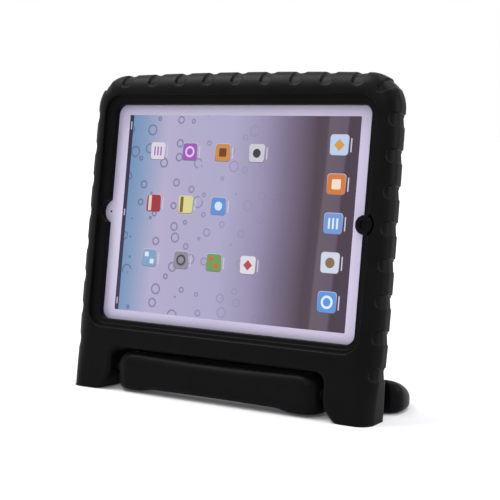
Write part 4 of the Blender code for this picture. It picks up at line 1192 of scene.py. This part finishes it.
@dataclass
class HandleStand:
    """The foam handle: the bar between the legs and the loop behind it, which the case stands on."""

    pivot_height: float = 0.016213
    bar_half_length: float = 0.0868
    bar_front: float = 0.0120
    bar_top: float = 0.0125
    bar_end_corner: float = 0.0120
    neck_top: float = 0.0088
    neck_drop: tuple[float, float] = (0.0020, 0.0140)
    loop_start: float = 0.0275
    loop_rear: float = 0.0780
    loop_half_width: float = 0.1288
    loop_front_corner: float = 0.0090
    loop_rear_corner: float = 0.0440
    loop_fillet: float = 0.0080
    loop_rear_top: float = -0.0025
    loop_drop: tuple[float, float] = (0.0200, 0.0700)
    slot_half_length: float = 0.0690
    slot_front: float = 0.0075
    slot_rear: float = 0.0520
    slot_corner: float = 0.0180
    arch_rise: float = 0.0020
    arch_half_length: float = 0.0520
    arch_blend: float = 0.0140
    underside_lift: float = 0.0015
    underside_flat_from: float = 0.0600
    top_roll: float = 0.0098
    bottom_roll: float = 0.0050
    slot_roll_share: float = 0.6
    width_share: float = 0.48
    top_share: float = 0.55
    bottom_share: float = 0.40
    least_rear: float = 0.0005
    fine: int = 3
    section_steps: int = 10
    socket_radius: float = 0.0052
    socket_depth: float = 0.0123
    overrun: float = 0.0020

    def upper(self, place: Vector) -> float:
        """Return the height of the upper face above the pivot, at a place in plan."""
        neck = self.bar_top + (self.neck_top - self.bar_top) * smooth_rise(place.y, *self.neck_drop)
        return neck + (self.loop_rear_top - self.neck_top) * smooth_rise(place.y, *self.loop_drop)

    def lower(self, place: Vector) -> float:
        """Find the height of the lower face above the pivot.

        Args:
            place: The place in plan.

        Returns:
            The height.
        """
        lift = self.underside_lift * (1 - min(max(place.y / self.underside_flat_from, 0.0), 1.0))
        arch = self.arch_rise * (1 - smooth_rise(abs(place.x), self.arch_half_length,
                                                 self.arch_half_length + self.arch_blend))
        arch *= 1 - smooth_rise(place.y, self.slot_front, self.slot_front + self.arch_blend)
        return -self.pivot_height + lift + arch

    def run(self, start: tuple[float, float], end: tuple[float, float], steps: int) -> list[Vector]:
        """Return evenly spaced points of a straight run, leaving out its end."""
        first, last, count = Vector(start), Vector(end), steps * self.fine
        return [first.lerp(last, step / count) for step in range(count)]

    def bend(self, corner: tuple[float, float], before: tuple[float, float], after: tuple[float, float],
             radii: tuple[float, float], steps: int) -> list[Vector]:
        """Return points round a corner of the plan, leaving out the last."""
        return corner_arc(Vector(corner), Vector(before), Vector(after), radii, steps * self.fine)[:-1]

    def outer_plan(self) -> list[Vector]:
        """Lay out the outer outline of the right half.

        Returns:
            Its points, from front to rear.
        """
        bar, front, end = self.bar_half_length, -self.bar_front, self.bar_end_corner
        side, start, rear = self.loop_half_width, self.loop_start, self.loop_rear
        fillet, near, far = self.loop_fillet, self.loop_front_corner, self.loop_rear_corner
        far_cut = min(far, rear - start - near - self.least_rear)
        # The steps add up to as many as in inner_plan, because the sections join the two point by point.
        return (self.run((0.0, front), (bar - end, front), 6)
                + self.bend((bar, front), (0.0, front), (bar, start), (end, end), 5)
                + self.run((bar, front + end), (bar, start - fillet), 3)
                + self.bend((bar, start), (bar, front), (side, start), (fillet, fillet), 4)
                + self.run((bar + fillet, start), (side - near, start), 3)
                + self.bend((side, start), (bar, start), (side, rear), (near, near), 5)
                + self.bend((side, rear), (side, start), (0.0, rear), (far_cut, far), 8)
                + self.run((side - far, rear), (0.0, rear), 6)
                + [Vector((0.0, rear))])

    def inner_plan(self) -> list[Vector]:
        """Lay out the slot's outline of the right half, matched to the outer one.

        Returns:
            Its points, from front to rear.
        """
        slot, front, rear, corner = self.slot_half_length, self.slot_front, self.slot_rear, self.slot_corner
        return (self.run((0.0, front), (slot - corner, front), 6)
                + self.bend((slot, front), (0.0, front), (slot, rear), (corner, corner), 8)
                + self.run((slot, front + corner), (slot, rear - corner), 11)
                + self.bend((slot, rear), (slot, front), (0.0, rear), (corner, corner), 9)
                + self.run((slot - corner, rear), (0.0, rear), 6)
                + [Vector((0.0, rear))])

    def section(self, outer: Vector, inner: Vector) -> list[Vector]:
        """Lay out one rounded section of the handle.

        Args:
            outer: A point of the outer outline.
            inner: The matched point of the slot's outline.

        Returns:
            The section's points.
        """
        across, middle = inner - outer, (inner + outer) / 2
        width = across.length
        height = self.upper(middle) - self.lower(middle)
        top = min(self.top_roll, width * self.width_share, height * self.top_share)
        bottom = min(self.bottom_roll, width * self.width_share, height * self.bottom_share)
        inner_top = min(top, self.top_roll * self.slot_roll_share)
        corners = [(Vector((0.0, height)), top), (Vector((0.0, 0.0)), bottom),
                   (Vector((width, 0.0)), bottom), (Vector((width, height)), inner_top)]
        points: list[Vector] = []
        for index, (corner, radius) in enumerate(corners):
            before, after = corners[index - 1][0], corners[(index + 1) % 4][0]
            points += corner_arc(corner, before, after, (radius, radius), self.section_steps)
        made: list[Vector] = []
        for point in points:
            place = outer + across * (point.x / width)
            low, high = self.lower(place), self.upper(place)
            made.append(Vector((place.x, place.y, low + (high - low) * point.y / height)))
        return made

    def build(self) -> None:
        """Build the handle and dress it."""
        outer, inner = self.outer_plan(), self.inner_plan()
        pairs = list(zip(outer[:-1], inner)) + [(outer[-1], inner[-1])]
        mirrored = [(Vector((-a.x, a.y)), Vector((-b.x, b.y))) for a, b in pairs[-2:0:-1]]
        sections = [self.section(a, b) for a, b in pairs + mirrored]
        handle = make_piece("foam_handle", skin(sections + sections[:1], capped=False))
        sockets = [rod(way * (self.bar_half_length - self.socket_depth),
                       way * (self.bar_half_length + self.overrun), self.socket_radius, 0.0, 0.0)
                   for way in (-1, 1)]
        boolean(handle, make_piece("sockets", merge(sockets)))
        shade(handle, FOAM_SHARP_DEG, TO_PIVOT)
        dress(handle, FOAM.make(), "handle", "foam", "handle_stand")
        for word in ("left", "right"):
            dress_node(f"pivot_pin_{word}", PIN.make())
            dress_node(f"pivot_bush_{word}", BUSH.make())


# Tablet

@dataclass(frozen=True)
class Tile:
    """One rounded tile on the screen, placed in millimetres from the display's middle."""

    x: float
    z: float
    size: float
    face: str
    symbol: Symbol
    mark: str


TILES: tuple[Tile, ...] = (
    Tile(-70, 47, 12.5, "#d9d2de", Symbol.BARS, "#9a6fb4"),
    Tile(-41, 47, 12.5, "#9c58b4", Symbol.RING, "#dcc6ea"),
    Tile(-12, 47, 12.5, "#c98a45", Symbol.SQUARE, "#6e3f1d"),
    Tile(17, 47, 12.5, "#c9c6d2", Symbol.DISC, "#3c3944"),
    Tile(-70, 8, 12.5, "#a23438", Symbol.BAND, "#d8c9c9"),
    Tile(-41, 8, 12.5, "#d9d28e", Symbol.BAND, "#7d5f38"),
    Tile(-12, 8, 12.5, "#5f8fd0", Symbol.DISC, "#cfe0f4"),
    Tile(-70, -33, 12.5, "#7fa0c4", Symbol.QUARTERS, "#d9e4ee"),
    Tile(-41, -33, 12.5, "#8e8a97", Symbol.RING, "#4b4854"),
    Tile(-12, -33, 12.5, "#6f9a58", Symbol.QUARTERS, "#c66a3c"),
    Tile(17, -33, 12.5, "#dcd8e2", Symbol.DIAMOND, "#b24a52"),
    Tile(83, 54, 14.0, "#b9cdea", Symbol.DIAMOND, "#d49a3a"),
    Tile(83, 27, 14.0, "#d07a3a", Symbol.SQUARE, "#f0ddc8"),
    Tile(83, 0, 14.0, "#6f98d6", Symbol.BARS, "#dfe8f6"),
    Tile(83, -27, 14.0, "#ccd6e6", Symbol.DISC, "#8a6a4c"),
    Tile(83, -54, 14.0, "#5a94dc", Symbol.RING, "#e2ecf8"),
)


@dataclass
class Tablet:
    """The plain tablet in the case: front glass, lit display and the parts behind them."""

    half: tuple[float, float] = TABLET_HALF
    corner: float = TABLET_CORNER
    edge: float = 0.0011
    glass_thickness: float = 0.0010
    glass_bevel: float = 0.0003
    display_half: tuple[float, float] = (0.09855, 0.0739)
    display_corner: float = 0.0008
    display_sink: float = 0.00003
    display_back: float = 0.0035
    display_gap: float = 0.00004
    home_x: float = HOME_X
    home_hole: float = 0.00585
    lens_x: float = -HOME_X
    lens_radius: float = 0.0008
    lens_edge: float = 0.0002
    glass_corner_steps: int = 16
    display_corner_steps: int = 4
    disc_segments: int = 32
    sharp_deg: float = 30.0
    tile_stand: float = 0.00005
    tile_sink: float = 0.0002
    tile_corner_share: float = 0.32
    tile_rim: float = 0.0004
    tile_rim_share: float = 0.36
    tile_corner_steps: int = 6
    fine_corner_steps: int = 2
    caption_half_width: float = 0.0005
    caption_share: float = 0.7
    caption_corner: float = 0.0004
    caption_away: float = 0.0022
    strip_width: float = 0.0034
    strip_inset: float = 0.0001
    strip_marks: tuple[tuple[float, float], ...] = ((0.066, 0.006), (0.0, 0.005), (-0.067, 0.005))
    strip_mark_half_width: float = 0.0006
    strip_mark_corner: float = 0.0003

    def front_glass(self) -> None:
        """Build the printed border of the glass, open over the display and the home button."""
        half_x, half_z = self.half[0] - self.edge, self.half[1] - self.edge
        outline = rounded_box(half_x, half_z, self.corner - self.edge, self.glass_corner_steps)
        pane = make_piece("front_glass", plate(outline, 0.0, self.glass_thickness, soft=self.glass_bevel))
        open_x, open_z = (half + self.display_gap for half in self.display_half)
        display = rounded_box(open_x, open_z, self.display_corner, self.display_corner_steps)
        lens, segments = (self.lens_x, 0.0), self.disc_segments
        for name, opening in (("display_opening", display),
                              ("home_hole", circle((self.home_x, 0.0), self.home_hole)),
                              ("lens_seat", circle(lens, self.lens_radius + self.display_gap, segments))):
            boolean(pane, make_piece(name, plate(opening, -self.corner, self.corner)))
        shade(pane, self.sharp_deg, LEAN_BACK)
        dress(pane, BackPrintFinish().make(), "case", "front_glass", "tablet_front_glass")
        disc = circle(lens, self.lens_radius, segments)
        window = make_piece("front_camera_window",
                            plate(disc, self.display_sink, self.glass_thickness, self.lens_edge))
        shade(window, self.sharp_deg, LEAN_BACK)
        dress(window, BLACK_PLASTIC.make(), "case", "camera_black")

    def display(self) -> None:
        """Build the lit display panel."""
        outline = rounded_box(*self.display_half, self.display_corner, self.display_corner_steps)
        panel = make_piece("display_panel", plate(outline, self.display_sink, self.display_back))
        shade(panel, self.sharp_deg, LEAN_BACK)
        dress(panel, LitDisplayFinish().make(), "case", "display", "tablet_display")

    def lit_plate(self, outline: Sequence[Vector], level: int, top: str, bottom: str) -> bmesh.types.BMesh:
        """Build one thin lit shape on the display.

        Args:
            outline: The outline as 2-D points.
            level: Its place in the stack, 1 on the display and more on another shape.
            top: Colour at its upper edge.
            bottom: Colour at its lower edge.

        Returns:
            The shape, with its colours in an attribute.
        """
        shape = plate(outline, self.display_sink - self.tile_stand * level, self.tile_sink)
        layer = shape.loops.layers.float_color.new(TileFinish.attribute)
        heights = [point.y for point in outline]
        low, span = min(heights), max(max(heights) - min(heights), 1e-9)
        upper, lower = Vector(to_linear(top)), Vector(to_linear(bottom))
        for face in shape.faces:
            for corner in face.loops:
                corner[layer] = lower.lerp(upper, (corner.vert.co.z - low) / span)
        return shape

    def symbol_outlines(self, tile: Tile) -> list[list[Vector]]:
        """Draw a tile's plain symbol, sized by half the tile.

        Args:
            tile: The tile.

        Returns:
            The symbol's outlines.
        """
        x, z, half = tile.x * MM, tile.z * MM, tile.size * MM / 2
        segments, steps = self.disc_segments, self.fine_corner_steps
        match tile.symbol:
            case Symbol.DISC:
                return [circle((x, z), half * 0.52, segments)]
            case Symbol.RING:
                return [circle((x, z), half * share, segments) for share in (0.66, 0.42)]
            case Symbol.BARS:
                return [rounded_box(half * 0.10, half * 0.55, half * 0.08, steps, (x + half * shift, z))
                        for shift in (-0.45, 0.0, 0.45)]
            case Symbol.SQUARE:
                return [rounded_box(half * 0.5, half * 0.5, half * 0.15, steps + 1, (x, z))]
            case Symbol.DIAMOND:
                return [[Vector((x + half * 0.6 * a, z + half * 0.6 * b))
                         for a, b in ((1, 0), (0, 1), (-1, 0), (0, -1))]]
            case Symbol.QUARTERS:
                return [rounded_box(half * 0.28, half * 0.28, half * 0.08, steps,
                                    (x + half * a, z + half * b)) for a, b in ((-0.4, 0.4), (0.4, -0.4))]
            case _:
                return [rounded_box(half * 0.22, half * 0.92, half * 0.1, steps, (x - half * 0.55, z))]

    def tiles(self) -> None:
        """Build the plain tiles, their caption bars and the dark strip at the display's left edge."""
        shapes: list[bmesh.types.BMesh] = []
        strip_x = -self.display_half[0] + self.strip_width / 2 + self.strip_inset
        strip = rounded_box(self.strip_width / 2, self.display_half[1] - self.strip_inset,
                            self.strip_inset, 1, (strip_x, 0.0))
        shapes.append(self.lit_plate(strip, 1, "#2b263a", "#3a3550"))
        for z, length in self.strip_marks:
            mark = rounded_box(self.strip_mark_half_width, length / 2, self.strip_mark_corner,
                               self.fine_corner_steps, (strip_x, z))
            shapes.append(self.lit_plate(mark, 2, "#a9a6b8", "#a9a6b8"))
        for tile in TILES:
            half, x, z = tile.size * MM / 2, tile.x * MM, tile.z * MM
            edge = half + self.tile_rim
            rim = rounded_box(edge, edge, half * self.tile_rim_share, self.tile_corner_steps, (x, z))
            shapes.append(self.lit_plate(rim, 1, "#c9c4d6", "#6a6478"))
            face = rounded_box(half, half, half * self.tile_corner_share, self.tile_corner_steps, (x, z))
            shapes.append(self.lit_plate(face, 2, tile.face, tile.face))
            # A ring is a disc with a smaller one of the tile's colour on it.
            colours = [tile.mark, tile.face if tile.symbol is Symbol.RING else tile.mark, tile.mark]
            for level, (outline, colour) in enumerate(zip(self.symbol_outlines(tile), colours)):
                shapes.append(self.lit_plate(outline, 3 + level, colour, colour))
            caption = rounded_box(self.caption_half_width, half * self.caption_share, self.caption_corner,
                                  self.fine_corner_steps, (x + half + self.caption_away, z))
            shapes.append(self.lit_plate(caption, 1, "#c6c2d4", "#c6c2d4"))
        piece = make_piece("screen_tiles", merge(shapes), LEAN_BACK)
        dress(piece, TileFinish().make(), "case", "display")

    def dress_inside(self) -> None:
        """Finish the CAD nodes of the tablet that stay."""
        black, metal, white, pouch = (finish.make() for finish in (BLACK_PLASTIC, PLATED, BUTTON, POUCH))
        dress_node("tablet_back_shell", ALUMINIUM.make())
        dress_node("tablet_logic_board", BoardFinish().make())
        dress_node("tablet_dock_connector", metal)
        for name in ("front_camera", "rear_camera", "speaker", "headphone_jack"):
            dress_node(f"tablet_{name}", black)
        for name in ("home_button", "sleep_button", "volume_rocker", "side_switch"):
            dress_node(f"tablet_{name}", white)
        for number in (1, 2, 3):
            dress_node(f"tablet_battery_{number}", pouch)

    def build(self) -> None:
        """Build the tablet's pieces and dress its CAD nodes."""
        self.front_glass()
        self.display()
        self.tiles()
        self.dress_inside()


# Studio

@dataclass(frozen=True)
class Lamp:
    """One softbox: where it hangs, its width and its power in watts."""

    name: str
    place: tuple[float, float, float]
    width: float
    watts: float


@dataclass
class Studio:
    """The white room: floor, softboxes, surroundings and the camera."""

    floor_reach: float = 6.0
    floor_colour: str = "#e9e9ec"
    floor_lift: float = 0.05
    shadow_ends: tuple[float, float] = (0.3, 1.4)
    ambient: float = 0.35
    lamp_target: tuple[float, float, float] = (0.0, 0.0, 0.12)
    # The camera's place and axes in the case's own frame, fitted to the display's corners.
    eye: tuple[float, float, float] = (0.4998, -0.7712, -0.0378)
    right: tuple[float, float, float] = (0.84598, 0.52694, 0.08163)
    down: tuple[float, float, float] = (0.06009, 0.05789, -0.99651)
    ahead: tuple[float, float, float] = (-0.52982, 0.84793, 0.01731)
    lens_mm: float = 92.13
    sensor_mm: float = 36.0
    clip_start: float = 0.01
    lamps: tuple[Lamp, ...] = (
        Lamp("key_softbox", (-0.50, -0.12, 1.12), 0.6, 11.5),
        Lamp("top_softbox", (0.40, 0.25, 1.20), 0.7, 8.0),
        Lamp("front_fill", (0.25, -0.95, 1.05), 0.7, 3.5),
        Lamp("rim_softbox", (0.95, 0.15, 0.42), 0.5, 4.0),
    )

    def floor(self) -> None:
        """Build the floor: it shows white to the camera but keeps the case's shadow."""
        shape = bmesh.new()
        bmesh.ops.create_grid(shape, x_segments=1, y_segments=1, size=self.floor_reach)
        ground = make_piece("floor", shape)
        # Matt white floor paint, which whitens away from the case for the eye, but not for the light.
        material, tree = new_material("white_matt_floor")
        away = add_node(tree, "ShaderNodeVectorMath", {"operation": "LENGTH"}, {
            0: object_place(tree)}).outputs["Value"]
        whiter = spread(tree, away, self.shadow_ends, (self.floor_lift, 1.0), "SMOOTHSTEP")
        lift = calculate(tree, "MULTIPLY", seen_rays(tree), whiter)
        finish_shader(tree, {"Base Color": to_linear(self.floor_colour), "Roughness": 0.9,
                             "Specular IOR Level": 0.0, "Emission Color": WHITE, "Emission Strength": lift})
        ground.data.materials.append(material)

    def surroundings(self) -> None:
        """Give the world a white that the camera and reflections see, and a softer one for light."""
        world = bpy.data.worlds.new("white_room")
        world.use_nodes = True
        tree = world.node_tree
        tree.nodes.clear()
        strength = spread(tree, seen_rays(tree), (0.0, 1.0), (self.ambient, 1.0))
        glow = add_node(tree, "ShaderNodeBackground", sockets={"Color": WHITE, "Strength": strength})
        add_node(tree, "ShaderNodeOutputWorld", sockets={"Surface": glow.outputs[0]})
        bpy.context.scene.world = world

    def lights(self) -> None:
        """Hang the softboxes, each turned to the case."""
        for lamp in self.lamps:
            light = bpy.data.lights.new(lamp.name, "AREA")
            light.shape = "SQUARE"
            light.size = lamp.width
            light.energy = lamp.watts
            holder = bpy.data.objects.new(lamp.name, light)
            bpy.context.scene.collection.objects.link(holder)
            holder.location = lamp.place
            toward = Vector(self.lamp_target) - Vector(lamp.place)
            holder.rotation_euler = toward.to_track_quat("-Z", "Y").to_euler()

    def camera(self) -> None:
        """Set up the camera at the photograph's viewing angle."""
        data = bpy.data.cameras.new("camera")
        data.lens = self.lens_mm
        data.sensor_width = self.sensor_mm
        data.sensor_fit = "HORIZONTAL"
        data.clip_start = self.clip_start
        camera = bpy.data.objects.new("camera", data)
        bpy.context.scene.collection.objects.link(camera)
        columns = (Vector(self.right), -Vector(self.down), -Vector(self.ahead), Vector(self.eye))
        upright = Matrix([[column[row] for column in columns] for row in range(3)] + [[0.0, 0.0, 0.0, 1.0]])
        camera.matrix_world = LEAN_BACK @ upright
        bpy.context.scene.camera = camera

    def build(self) -> None:
        """Build the room."""
        self.camera()
        self.floor()
        self.surroundings()
        self.lights()
        bpy.context.scene.view_settings.view_transform = "Standard"
        LOG.info("studio: %d softboxes", len(self.lamps))


def main() -> None:
    """Build every sub-assembly in order."""
    logging.basicConfig(level=logging.INFO, format="%(name)s: %(message)s")
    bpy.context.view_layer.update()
    Studio().build()
    MouldedCase().build()
    HandleStand().build()
    Tablet().build()


if __name__ == "__main__":
    main()
